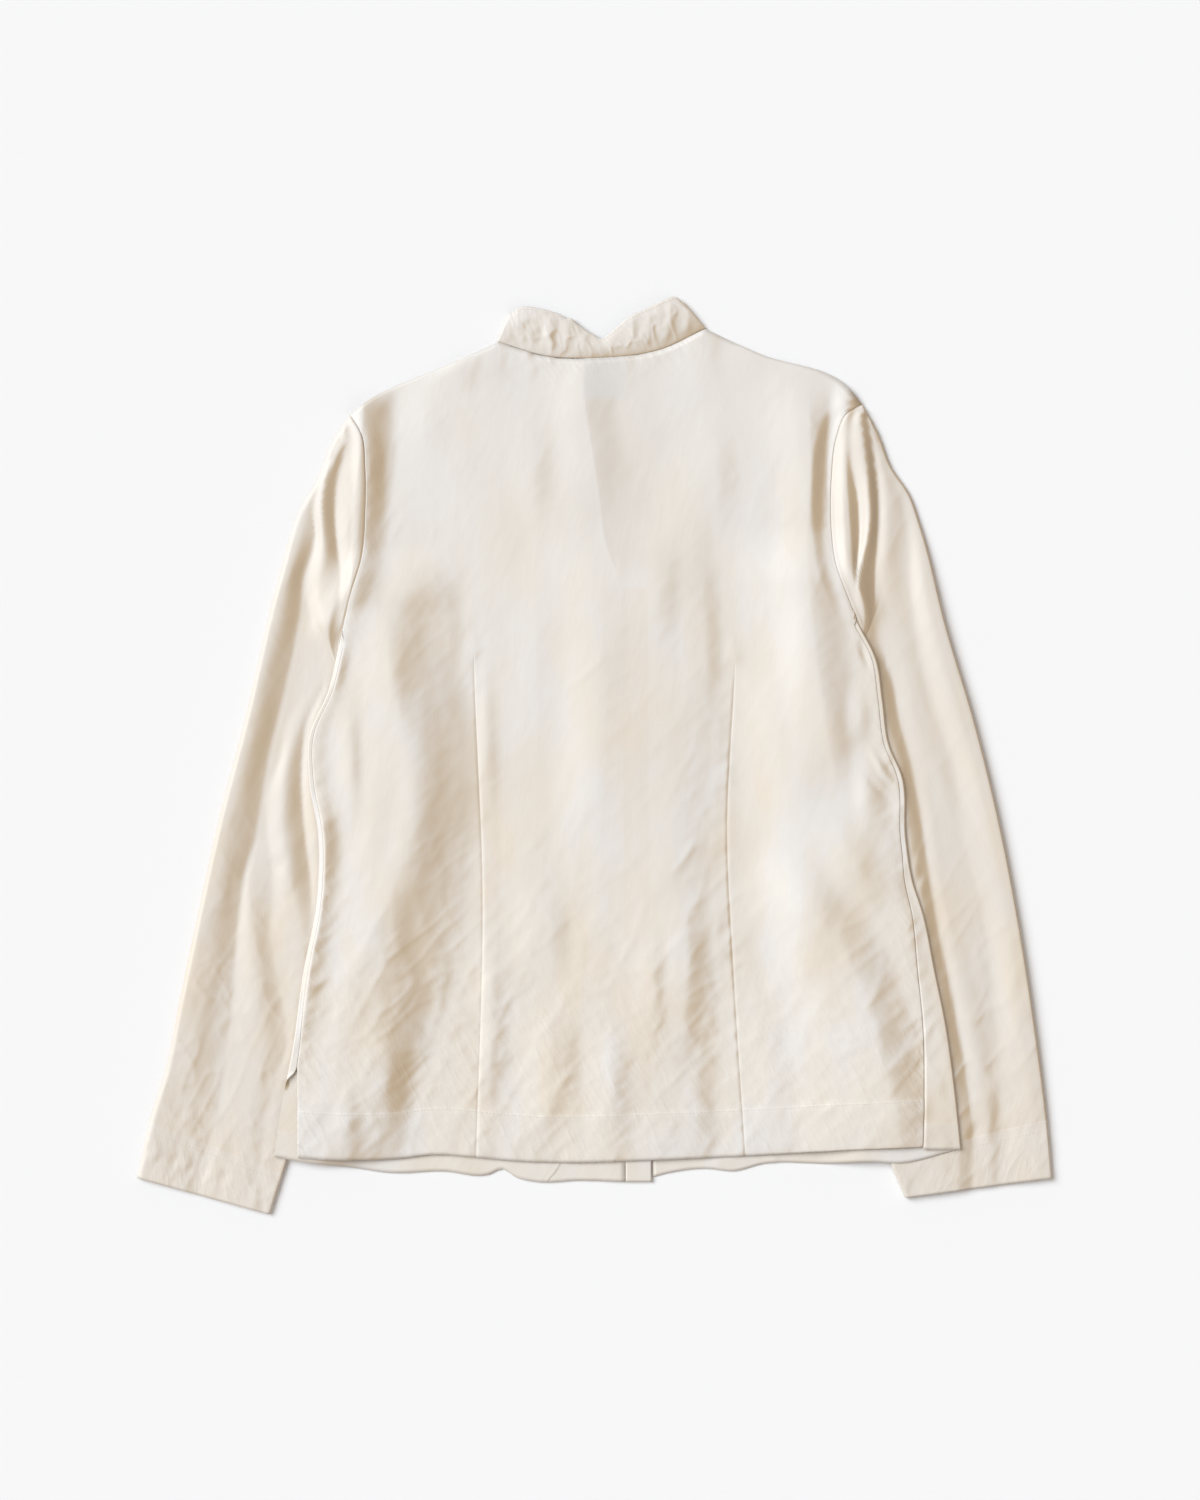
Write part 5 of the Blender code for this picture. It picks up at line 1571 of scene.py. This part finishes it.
RIGHT_SLEEVE_GUIDES = (
    Guide((
        (196, 260, 3.4), (192.9, 243, 3.8), (195.2, 181, 4.3), (199.8, 120, 3), (198.3, 89, 2.2),
        (210.6, 58, 2.2), (216, 27, 2.2), (224.5, -3, 2.2), (239.9, -96, 2.2), (268.3, -250, 2.2),
        (272.2, -281, 2.2)), 0.1),
    Guide((
        (198.3, 260, 3.3), (196, 243, 3.5), (196.7, 228, 3.4), (202.5, 197, 1.4), (203.7, 181, 0.9),
        (203.7, 166, 0.9), (202.1, 151, 1.4), (200.6, 135, 2.7), (200.6, 120, 2.9), (201.4, 89, 2.4),
        (213.7, 58, 2.4), (219.1, 27, 2.4), (227.5, -3, 2.4), (233.7, -34, 2.4), (242.9, -96, 2.4),
        (271.4, -250, 2.4), (275.3, -281, 2.2)), 0.6),
    Guide((
        (204.4, 260, 4.4), (208.3, 228, 5.4), (210.6, 197, 5.6), (211, 181, 5.4), (209.1, 166, 5.2),
        (202.1, 135, 4.2), (201.4, 120, 3.8), (204.4, 89, 2.7), (216.8, 58, 2.7), (222.1, 27, 2.7),
        (230.6, -3, 2.7), (236.8, -34, 2.7), (246, -96, 2.7), (269.1, -219, 2.7), (278.4, -281, 2.2)), 0.1),
    Guide((
        (209.1, 260, 1.4), (212.1, 243, 0.5), (217.9, 197, 0.2), (215.2, 120, 0.2), (216.8, 89, 0),
        (229.1, 58, 0), (234.5, 27, 0), (242.9, -3, 0), (249.1, -34, 0), (258.3, -96, 0), (286.8, -250, 0),
        (290.7, -281, 0.4)), 0.8),
    Guide((
        (211.4, 260, 1.6), (215.2, 243, 1.4), (222.9, 212, 1.7), (224.5, 197, 1.9), (225.2, 166, 1.7),
        (223.7, 135, 1), (232.2, 89, 0.9), (241.4, 58, 1), (246.8, 27, 1), (254.5, -3, 0.9),
        (261.4, -65, 0.9), (296.8, -250, 1.2), (304.5, -311, 0.9)), 0.1),
    Guide((
        (212.9, 260, 1.3), (220.6, 228, 1.2), (236.8, 197, 0.7), (239.9, 181, 0.4), (242.9, 120, 0.2),
        (263, 27, 0.2), (273.7, -3, 0.2), (283.7, -65, 0.2), (298.4, -127, 0.2), (303, -157, 0.2),
        (312.2, -250, 0.2)), 0.3),
    Guide(rim_rows(RIGHT, (
        (214.4, 260, 1.1), (216.8, 243, 0.9), (222.1, 228, 1), (232.9, 212, 0.8), (240.6, 197, 0.8),
        (256.8, 120, 3.4), (273, 58, 3.7), (300.7, -34, 3.7), (332.3, -219, 3.2), (344.6, -311, 2))), 0.0),
)
LEFT_SLEEVE_PUCKERS = (
    Puckers(((-188, 262), (-203, 238), (-213, 212)), 0.9, 5.0, 8.0, 81),
    Puckers(((-352, -300), (-300, -318), (-252, -330)), 0.9, 8.0, 12.0, 83, 0.4),
    Puckers(((-250, -60), (-236, -110), (-226, -160)), 0.5, 9.0, 12.0, 85, 0.8),
)
RIGHT_SLEEVE_PUCKERS = (
    Puckers(((206, 270), (218, 248), (228, 222)), 0.7, 5.0, 8.0, 91),
    Puckers(((236, -292), (290, -292), (352, -286)), 0.9, 8.0, 13.0, 93, -0.4),
    Puckers(((236, -20), (256, -110), (276, -200)), 0.5, 9.0, 12.0, 95, -0.8),
)


COLLAR_FREE_EDGE: Rows = (
    (-64, 340, 3.0), (-57, 344.6, 3.8), (-50, 345, 4.2), (-42, 343.6, 4.4), (-34, 341.6, 4.2),
    (-26.6, 339, 4.0),
    (-21, 335.6, 3.9), (-18.5, 336.2, 3.8), (-14, 332.4, 3.5), (-7.3, 327.4, 3.2), (-1, 323.6, 2.9),
    (5.5, 320.4, 2.8), (11, 324.2, 3.0), (18, 330.4, 3.4), (26.6, 337.4, 4.0), (34, 341.4, 4.2),
    (42.7, 345.0, 4.4), (50, 348.6, 4.6), (56.6, 351.6, 4.6), (62, 352.6, 4.3), (67, 348.6, 3.4),
)
COLLAR_FOLDS = (
    Fold(((-34, 340), (-34.5, 325), (-33, 310)), 1.2, 5, 7, 0.5, 6),
    Fold(((-46, 338), (-41, 326), (-44, 312)), -0.8, 6, 5, 0.5, 8),
    Fold(((-56, 340), (-60, 326)), 0.8, 7, 8, 0.4, 6),
    Fold(((-24, 336), (-20, 322), (-23, 309)), 0.7, 6, 6, 0.5, 6),
    Fold(((-28, 330), (-38, 322), (-48, 321)), 0.5, 4, 4, 0.6, 5),
    Fold(((-8, 326), (-8, 316), (-10, 308)), 0.6, 5, 6, 0.5, 5),
    Fold(((28, 340), (29, 330), (30, 318)), 0.9, 3, 7, 0.7, 5),
    Fold(((43, 344), (42, 330), (41, 314)), 1.0, 6, 6, 0.5, 7),
    Fold(((56, 350), (58, 336), (55, 316)), 0.8, 7, 6, 0.4, 7),
    Fold(((70, 346), (72, 334), (70, 322)), 0.7, 6, 8, 0.4, 6),
)


@dataclass
class Collar:
    """The stand: along the back neck, folded at both sides and under to the fronts."""

    front_end_y: float = 245.0
    front_heights: tuple[float, ...] = (6.0, 16.0, 20.0, 21.0)
    front_rows: int = 52
    turn_columns: int = 8
    back_columns: int = 150
    height_rows: int = 34
    crown: float = 1.2
    softness: float = 0.45
    # painted shade: the collar's colour is this much deeper even where it lies level
    shade: float = 0.10
    crumple: float = 0.45

    def front_end(self, half: Half, seam_end: Array, free_end: Array,
                  seam_z: float) -> tuple[Array, Array]:
        """Build one front end and its turn up to the back.

        Args:
            half: The side.
            seam_end: Plan point of the back's seam corner.
            free_end: Point (x, y, z) of the back's free corner.
            seam_z: Height of the back's seam.

        Returns:
            The seam line and the free edge, both from the front end up to the back.
        """
        neckline = smooth_line(NECKLINE_LEFT if half.sign < 0 else NECKLINE_RIGHT)
        y = np.linspace(self.front_end_y, neckline[-1, 1], self.front_rows)
        rows = np.stack([x_at(neckline, y) - half.sign * 0.5 * SEAM, y], axis=-1)
        tangent = np.gradient(rows, axis=0)
        tangent /= np.linalg.norm(tangent, axis=1)[:, None]
        inward = np.stack([-tangent[:, 1] * half.sign, tangent[:, 0] * half.sign], axis=-1)
        share = np.linspace(0.0, 1.0, len(rows))
        depth = np.interp(share, np.linspace(0.0, 1.0, 4), self.front_heights)
        free = rows + inward * depth[:, None]
        settle = smoothstep(share, 0.75, 1.0)[:, None]
        free = free * (1.0 - settle) + settle * (free_end[:2] + rows - rows[-1])
        rows = rows + settle * (seam_end - rows[-1])
        seam = np.column_stack([rows, np.full(len(rows), FLOOR_PLY)])
        edge = np.column_stack([free, np.full(len(rows), FLOOR_PLY)])
        turns = []
        for start, top in ((seam[-1], seam_z), (edge[-1], float(free_end[2]))):
            radius = 0.5 * (top - FLOOR_PLY)
            angle = np.linspace(0.0, np.pi, self.turn_columns + 1)[1:-1]
            turns.append(np.column_stack([start[0] + half.sign * radius * np.sin(angle),
                                          np.full_like(angle, start[1]),
                                          FLOOR_PLY + radius * (1.0 - np.cos(angle))]))
        return np.vstack([seam, turns[0]]), np.vstack([edge, turns[1]])

    def surface(self) -> Surface:
        """Work out the stand between its seam and its free edge."""
        back_x = np.linspace(SHOULDER_LEFT[-1][0], SHOULDER_RIGHT[0][0], self.back_columns + 1)
        back = border(smooth_line(NECK_BACK), back_x)
        back[:, 1] += SEAM
        seam_z = FLOOR_PLY + LIFT - 0.25
        knots = smooth_line(COLLAR_FREE_EDGE)
        free = along(knots, np.linspace(0.0, 1.0, len(back)))
        seams, edges = [], []
        for half, corner in ((LEFT, 0), (RIGHT, -1)):
            seam, edge = self.front_end(half, back[corner], free[corner], seam_z)
            seams.append(seam)
            edges.append(edge)
        seam = np.vstack([seams[0], np.column_stack([back, np.full(len(back), seam_z)]), seams[1][::-1]])
        edge = np.vstack([edges[0], free, edges[1][::-1]])
        v = np.linspace(0.0, 1.0, self.height_rows + 1)[:, None, None]
        grid = (1 - v) * seam[None] + v * edge[None]
        x, y = grid[..., 0], grid[..., 1]
        upper = smoothstep(grid[..., 2], FLOOR_PLY + 1.0, FLOOR_PLY + LIFT - 0.1)
        open_part = np.sin(np.pi * np.clip(v[..., 0], 0.0, 1.0)) ** 0.7
        crease = self.softness * total_relief(COLLAR_FOLDS, x, y)
        crease += total_relief((COLLAR_GRAIN, COLLAR_CREASE), x, y)
        grid[..., 2] += upper * (self.crown * open_part + crease * (0.02 + 0.98 * open_part))
        run = np.linalg.norm(np.diff(grid[self.height_rows // 2], axis=0), axis=1)
        place = np.concatenate(([0.0], np.cumsum(run)))
        rise = np.linalg.norm(edge - seam, axis=1)[None, :] * v[..., 0]
        cloth = np.stack([np.broadcast_to(place[None, :] - 600.0, rise.shape), rise + 400.0], axis=-1)
        to_free = (1.0 - v[..., 0]) * np.linalg.norm(edge - seam, axis=1)[None, :]
        paint = {"seam": near(np.minimum(rise, to_free), 30.0),
                 "crumple": np.full(x.shape, self.crumple)}
        return Surface(grid, cloth, shade=self.shade, paint=paint)

    def build(self, wardrobe: Wardrobe) -> Made:
        """Make the stand."""
        surface = self.surface()
        return cloth_piece("collar", surface, wardrobe.silk, "collar"), surface


@dataclass
class NeckLabel:
    """A blank woven label sewn below the back neck."""

    centre: tuple[float, float] = (7.0, 290.0)
    width: float = 33.0
    length: float = 32.0
    level: float = 1.0

    def distance(self, x: Array, y: Array) -> Array:
        """Return the distance inside the label's outline."""
        across = 0.5 * self.width - np.abs(x - self.centre[0])
        return np.minimum(across, 0.5 * self.length - np.abs(y - self.centre[1]))

    def build(self, wardrobe: Wardrobe) -> Made:
        """Make the label: a flat ribbon, a little fuller at its folded ends."""
        y, x = np.meshgrid(np.linspace(-0.5, 0.5, 41) * self.length + self.centre[1],
                           np.linspace(-0.5, 0.5, 41) * self.width + self.centre[0], indexing="ij")
        inside = self.distance(x, y)
        z = self.level + 0.08 * grain_noise(x, y, 9.0, 9.0, 0.0, 111) + 0.1 * (inside < 1.5)
        surface = Surface(np.stack([x, y, z], axis=-1), np.stack([x, y], axis=-1))
        return cloth_piece("neck_label", surface, wardrobe.ribbon, "neck_label", 0.35), surface


@dataclass
class Buttons:
    """Six dished four-hole buttons, face down under the right placket, each sewn on."""

    hole_offset: float = 1.25
    hole_radius: float = 0.55
    turns: int = 72
    rings: int = 30

    def heights(self, radius: Array, x: Array, y: Array) -> Array:
        """Return the face's depth below its rim: a dished middle inside a round rim."""
        share = radius / (0.5 * BUTTON_DIAMETER)
        depth = 0.34 * (1.0 - smoothstep(share, 0.50, 0.72))
        depth = depth + 0.30 * smoothstep(share, 0.88, 1.0) ** 2
        for step_x in (-1.0, 1.0):
            for step_y in (-1.0, 1.0):
                gap = np.hypot(x - step_x * self.hole_offset, y - step_y * self.hole_offset)
                wall = smoothstep(gap, self.hole_radius - 0.12, self.hole_radius + 0.08)
                depth = depth + 0.55 * (1.0 - wall)
        return depth

    def button_mesh(self, name: str, centre_x: float, centre_y: float) -> bpy.types.Mesh:
        """Turn one button: its lower face is the outside, its back is plain."""
        turn = np.linspace(0.0, 2.0 * np.pi, self.turns, endpoint=False)[None, :]
        share = np.linspace(0.02, 1.0, self.rings + 1)[:, None]
        radius = 0.5 * BUTTON_DIAMETER * share
        x, y = radius * np.cos(turn), radius * np.sin(turn)
        face_z = self.heights(radius + 0.0 * turn, x, y)
        back_z = BUTTON_THICKNESS - 0.28 * smoothstep(share + 0.0 * turn, 0.86, 1.0) ** 2
        face = np.stack([x, y, face_z], axis=-1)
        back = np.stack([x, y, back_z], axis=-1)[::-1]
        shell = np.concatenate([face, back])
        rows, columns = shell.shape[:2]
        row, column = np.meshgrid(np.arange(rows - 1), np.arange(columns), indexing="ij")
        after = (column + 1) % columns
        quads = np.stack([row * columns + column, (row + 1) * columns + column,
                          (row + 1) * columns + after, row * columns + after], axis=-1).reshape(-1, 4)
        points = shell.reshape(-1, 3) + (centre_x, centre_y, 0.0)
        caps = [list(range(columns)), list(range(rows * columns - 1, (rows - 1) * columns - 1, -1))]
        mesh = bpy.data.meshes.new(name)
        mesh.from_pydata((points * MM).tolist(), [], quads.tolist() + caps)
        mesh.validate()
        mesh.shade_smooth()
        return mesh

    def build(self, wardrobe: Wardrobe) -> list[bpy.types.Object]:
        """Make the buttons and their sewing."""
        made = []
        lines = []
        for k in range(BUTTON_COUNT):
            y = FIRST_BUTTON_Y - k * BUTTON_PITCH
            x = float(placket_edge_x(np.array(y))) + 0.5 * PLACKET_WIDTH
            name = f"pearl_button_{k + 1}"
            button = loose_piece(name, self.button_mesh(name, x, y), wardrobe.pearl)
            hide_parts(f"button_{k + 1}")
            made.append(button)
            for step in (-1.0, 1.0):
                for lay in (-0.22, 0.22):
                    run = np.linspace(-1.35, 1.35, 9)
                    line = np.stack([x + run, np.full(9, y + step * self.hole_offset + lay),
                                     0.25 + 0.22 * (np.abs(run) / 1.35) ** 4], axis=-1)
                    down = np.broadcast_to(np.array((0.0, 0.0, -1.0)), line.shape)
                    lines.append((line, down))
        sewing = StitchRun(length=2.7, gap=0.0, radius=0.17)
        threads = loose_piece("button_threads", sewing.mesh("button_threads", lines),
                              wardrobe.thread)
        return made + [threads]


@dataclass
class Sewing:
    """Rows of machine stitches, laid on the cloth surfaces."""

    run: StitchRun = field(default_factory=StitchRun)
    sleeve_length: float = 625.0

    def row_of(self, surface: Surface, rows: Array, columns: Array) -> tuple[Array, Array]:
        """Read a line of points and normals at fractional rows and columns of a surface."""
        points, normals = surface.points, surface.normals()
        if surface.flipped:
            normals = -normals
        low_row = np.clip(np.floor(rows).astype(int), 0, points.shape[0] - 2)
        low_column = np.clip(np.floor(columns).astype(int), 0, points.shape[1] - 2)
        part_row, part_column = (rows - low_row)[:, None], (columns - low_column)[:, None]

        def read(grid: Array) -> Array:
            near_row = (grid[low_row, low_column] * (1 - part_column)
                        + grid[low_row, low_column + 1] * part_column)
            far_row = (grid[low_row + 1, low_column] * (1 - part_column)
                       + grid[low_row + 1, low_column + 1] * part_column)
            return near_row * (1 - part_row) + far_row * part_row

        normal = read(normals)
        normal = normal * np.where(normal[:, 2:] < 0.0, -1.0, 1.0)
        normal /= np.linalg.norm(normal, axis=1, keepdims=True)
        return read(points) + normal * (0.5 * THREAD_WALL - 0.02), normal

    def level_row(self, surface: Surface, offset: float, first: int, last: int) -> tuple[Array, Array]:
        """Return a line at a distance up from a surface's first row."""
        columns = np.arange(first, last, dtype=float)
        rise = surface.points[:, first:last, 1] - surface.points[:1, first:last, 1]
        rows = np.array([np.interp(offset, column, np.arange(len(column))) for column in rise.T])
        return self.row_of(surface, rows, columns)

    def build(self, wardrobe: Wardrobe, surfaces: dict[str, Surface]) -> list[bpy.types.Object]:
        """Make the stitches of the back's hem, the collar's free edge and the cuffs."""
        made = []
        back, collar = surfaces["back"], surfaces["collar"]
        lines = [self.level_row(back, BackPanel.hem_depth - 1.0, 2, back.points.shape[1] - 2)]
        made.append(self.piece("back_hem_stitches", lines, wardrobe))
        last = collar.points.shape[0] - 1
        columns = np.arange(4.0, collar.points.shape[1] - 4.0)
        lines = [self.row_of(collar, np.full_like(columns, last - 2.2), columns)]
        made.append(self.piece("collar_stitches", lines, wardrobe))
        lines = []
        for half in HALVES:
            sleeve = surfaces["sleeve_" + half.name]
            columns = np.arange(9.0, 68.0)
            up = Sleeve.cuff_depth / self.sleeve_length * Sleeve.rings
            rows = np.full_like(columns, sleeve.points.shape[0] - 1 - up)
            lines.append(self.row_of(sleeve, rows, columns))
        made.append(self.piece("cuff_stitches", lines, wardrobe))
        return made

    def piece(self, name: str, lines: list[tuple[Array, Array]], wardrobe: Wardrobe) -> bpy.types.Object:
        """Make one piece of stitches."""
        return loose_piece(name, self.run.mesh(name, lines), wardrobe.thread)


@dataclass
class StrayThread:
    """A loose thread end at the hem."""

    line: Rows = (
        (-27.0, -309.0, 3.6), (-28.1, -314.6, 2.6), (-31.0, -320.0, 2.3),
        (-35.0, -325.0, 2.0), (-36.6, -327.6, 1.6),
    )
    radius: float = 0.2

    def build(self, wardrobe: Wardrobe) -> bpy.types.Object:
        """Make the thread as a thin tube."""
        path = smooth_line(self.line, 14)
        along_path = np.gradient(path, axis=0)
        along_path /= np.linalg.norm(along_path, axis=1, keepdims=True)
        up = np.broadcast_to(np.array((0.0, 0.0, 1.0)), path.shape)
        over = np.cross(along_path, up)
        over /= np.linalg.norm(over, axis=1, keepdims=True)
        lift = np.cross(over, along_path)
        turn = np.linspace(0.0, 2.0 * np.pi, 8, endpoint=False)
        ring = np.cos(turn)[None, :, None] * over[:, None, :] + np.sin(turn)[None, :, None] * lift[:, None, :]
        points = path[:, None, :] + self.radius * ring
        rows = len(path)
        row, side = np.meshgrid(np.arange(rows - 1), np.arange(8), indexing="ij")
        after = (side + 1) % 8
        quads = np.stack([row * 8 + side, (row + 1) * 8 + side, (row + 1) * 8 + after, row * 8 + after],
                         axis=-1).reshape(-1, 4)
        caps = [list(range(8)), list(range(rows * 8 - 1, rows * 8 - 9, -1))]
        mesh = bpy.data.meshes.new("stray_thread")
        mesh.from_pydata((points.reshape(-1, 3) * MM).tolist(), [], quads.tolist() + caps)
        mesh.validate()
        mesh.shade_smooth()
        return loose_piece("stray_thread", mesh, wardrobe.thread)


@dataclass(frozen=True)
class Studio:
    """Soft daylight from the upper left, a pale surface and a camera straight above."""

    camera_place: tuple[float, float, float] = (0.0042, 0.0042, 2.246)
    lens: float = 70.0
    key_height: float = 42.0
    key_side: float = 152.0
    key_spread: float = 40.0
    key_strength: float = 3.05
    key_colour: tuple[float, float, float] = (0.93, 0.99, 1.05)
    fill_height: float = 30.0
    fill_side: float = -40.0
    fill_strength: float = 0.28
    sky_colour: tuple[float, float, float] = (1.15, 1.03, 0.93)
    sky_strength: float = 0.345
    exposure: float = 0.0

    def add_light(self, name: str, height: float, side: float, strength: float) -> None:
        """Add one broad soft light from a height and a side, both in degrees."""
        light = bpy.data.lights.new(name, "SUN")
        light.angle = math.radians(self.key_spread)
        light.energy = strength
        light.color = self.key_colour
        lamp = bpy.data.objects.new(name, light)
        lamp.rotation_euler = (math.radians(90.0 - height), 0.0, math.radians(side + 90.0))
        bpy.context.scene.collection.objects.link(lamp)

    def build(self) -> None:
        """Set the floor, the light, the world and the camera."""
        scene = bpy.context.scene
        mesh = bpy.data.meshes.new("floor")
        reach = 4.0
        corners = [(-reach, -reach, -0.0004), (reach, -reach, -0.0004), (reach, reach, -0.0004),
                   (-reach, reach, -0.0004)]
        mesh.from_pydata(corners, [], [(0, 1, 2, 3)])
        floor = bpy.data.objects.new("floor", mesh)
        floor.data.materials.append(PaleFloor().build())
        scene.collection.objects.link(floor)
        self.add_light("key", self.key_height, self.key_side, self.key_strength)
        self.add_light("fill", self.fill_height, self.fill_side, self.fill_strength)
        world = bpy.data.worlds.new("sky")
        world.use_nodes = True
        sky = world.node_tree.nodes["Background"]
        sky.inputs["Color"].default_value = (*self.sky_colour, 1.0)
        sky.inputs["Strength"].default_value = self.sky_strength
        scene.world = world
        lens = bpy.data.cameras.new("camera")
        lens.lens = self.lens
        lens.sensor_width = 36.0
        camera = bpy.data.objects.new("camera", lens)
        camera.location = self.camera_place
        scene.collection.objects.link(camera)
        scene.camera = camera
        scene.view_settings.view_transform = "Standard"
        scene.view_settings.exposure = self.exposure


@dataclass
class Blouse:
    """The whole garment: each cut piece, its sewing and its buttons."""

    wardrobe: Wardrobe
    surfaces: dict[str, Surface] = field(default_factory=dict)

    def area(self, surface: Surface) -> float:
        """Return the cloth's area in square metres, from its grid."""
        points = surface.points
        if surface.closed:
            points = np.concatenate([points, points[:, :1]], axis=1)
        down, over = np.diff(points, axis=0), np.diff(points, axis=1)
        cells = np.cross(over[:-1], down[:, :-1]) + np.cross(over[1:], down[:, 1:])
        return 0.5 * float(np.linalg.norm(cells, axis=-1).sum()) * MM * MM

    def add_sheet(self, part: BackPanel | Front | Placket | Sleeve | Collar | NeckLabel) -> None:
        obj, surface = part.build(self.wardrobe)
        self.surfaces[obj.name.removesuffix("_cloth")] = surface
        LOG.info("%s: %d x %d points, %.4f m2 of cloth", obj.name, *surface.points.shape[:2],
                 self.area(surface))

    def build(self) -> None:
        """Build every piece, from the surface up."""
        self.add_sheet(Placket(RIGHT))
        self.add_sheet(Placket(LEFT))
        self.add_sheet(Front(LEFT))
        self.add_sheet(Front(RIGHT))
        self.add_sheet(Sleeve(LEFT, LEFT_SLEEVE_GUIDES, LEFT_SLEEVE_PUCKERS))
        self.add_sheet(Sleeve(RIGHT, RIGHT_SLEEVE_GUIDES, RIGHT_SLEEVE_PUCKERS))
        self.add_sheet(BackPanel())
        self.add_sheet(Collar())
        self.add_sheet(NeckLabel())
        for obj in Buttons().build(self.wardrobe):
            LOG.info("%s: %d faces", obj.name, len(obj.data.polygons))
        for obj in Sewing().build(self.wardrobe, self.surfaces):
            LOG.info("%s: %d faces", obj.name, len(obj.data.polygons))
        thread = StrayThread().build(self.wardrobe)
        LOG.info("%s: %d faces", thread.name, len(thread.data.polygons))


def main() -> None:
    """Load the frame, build the blouse on it and light it."""
    logging.basicConfig(level=logging.INFO, format="%(message)s")
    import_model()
    Blouse(Wardrobe.build()).build()
    Studio().build()


if __name__ == "__main__":
    main()
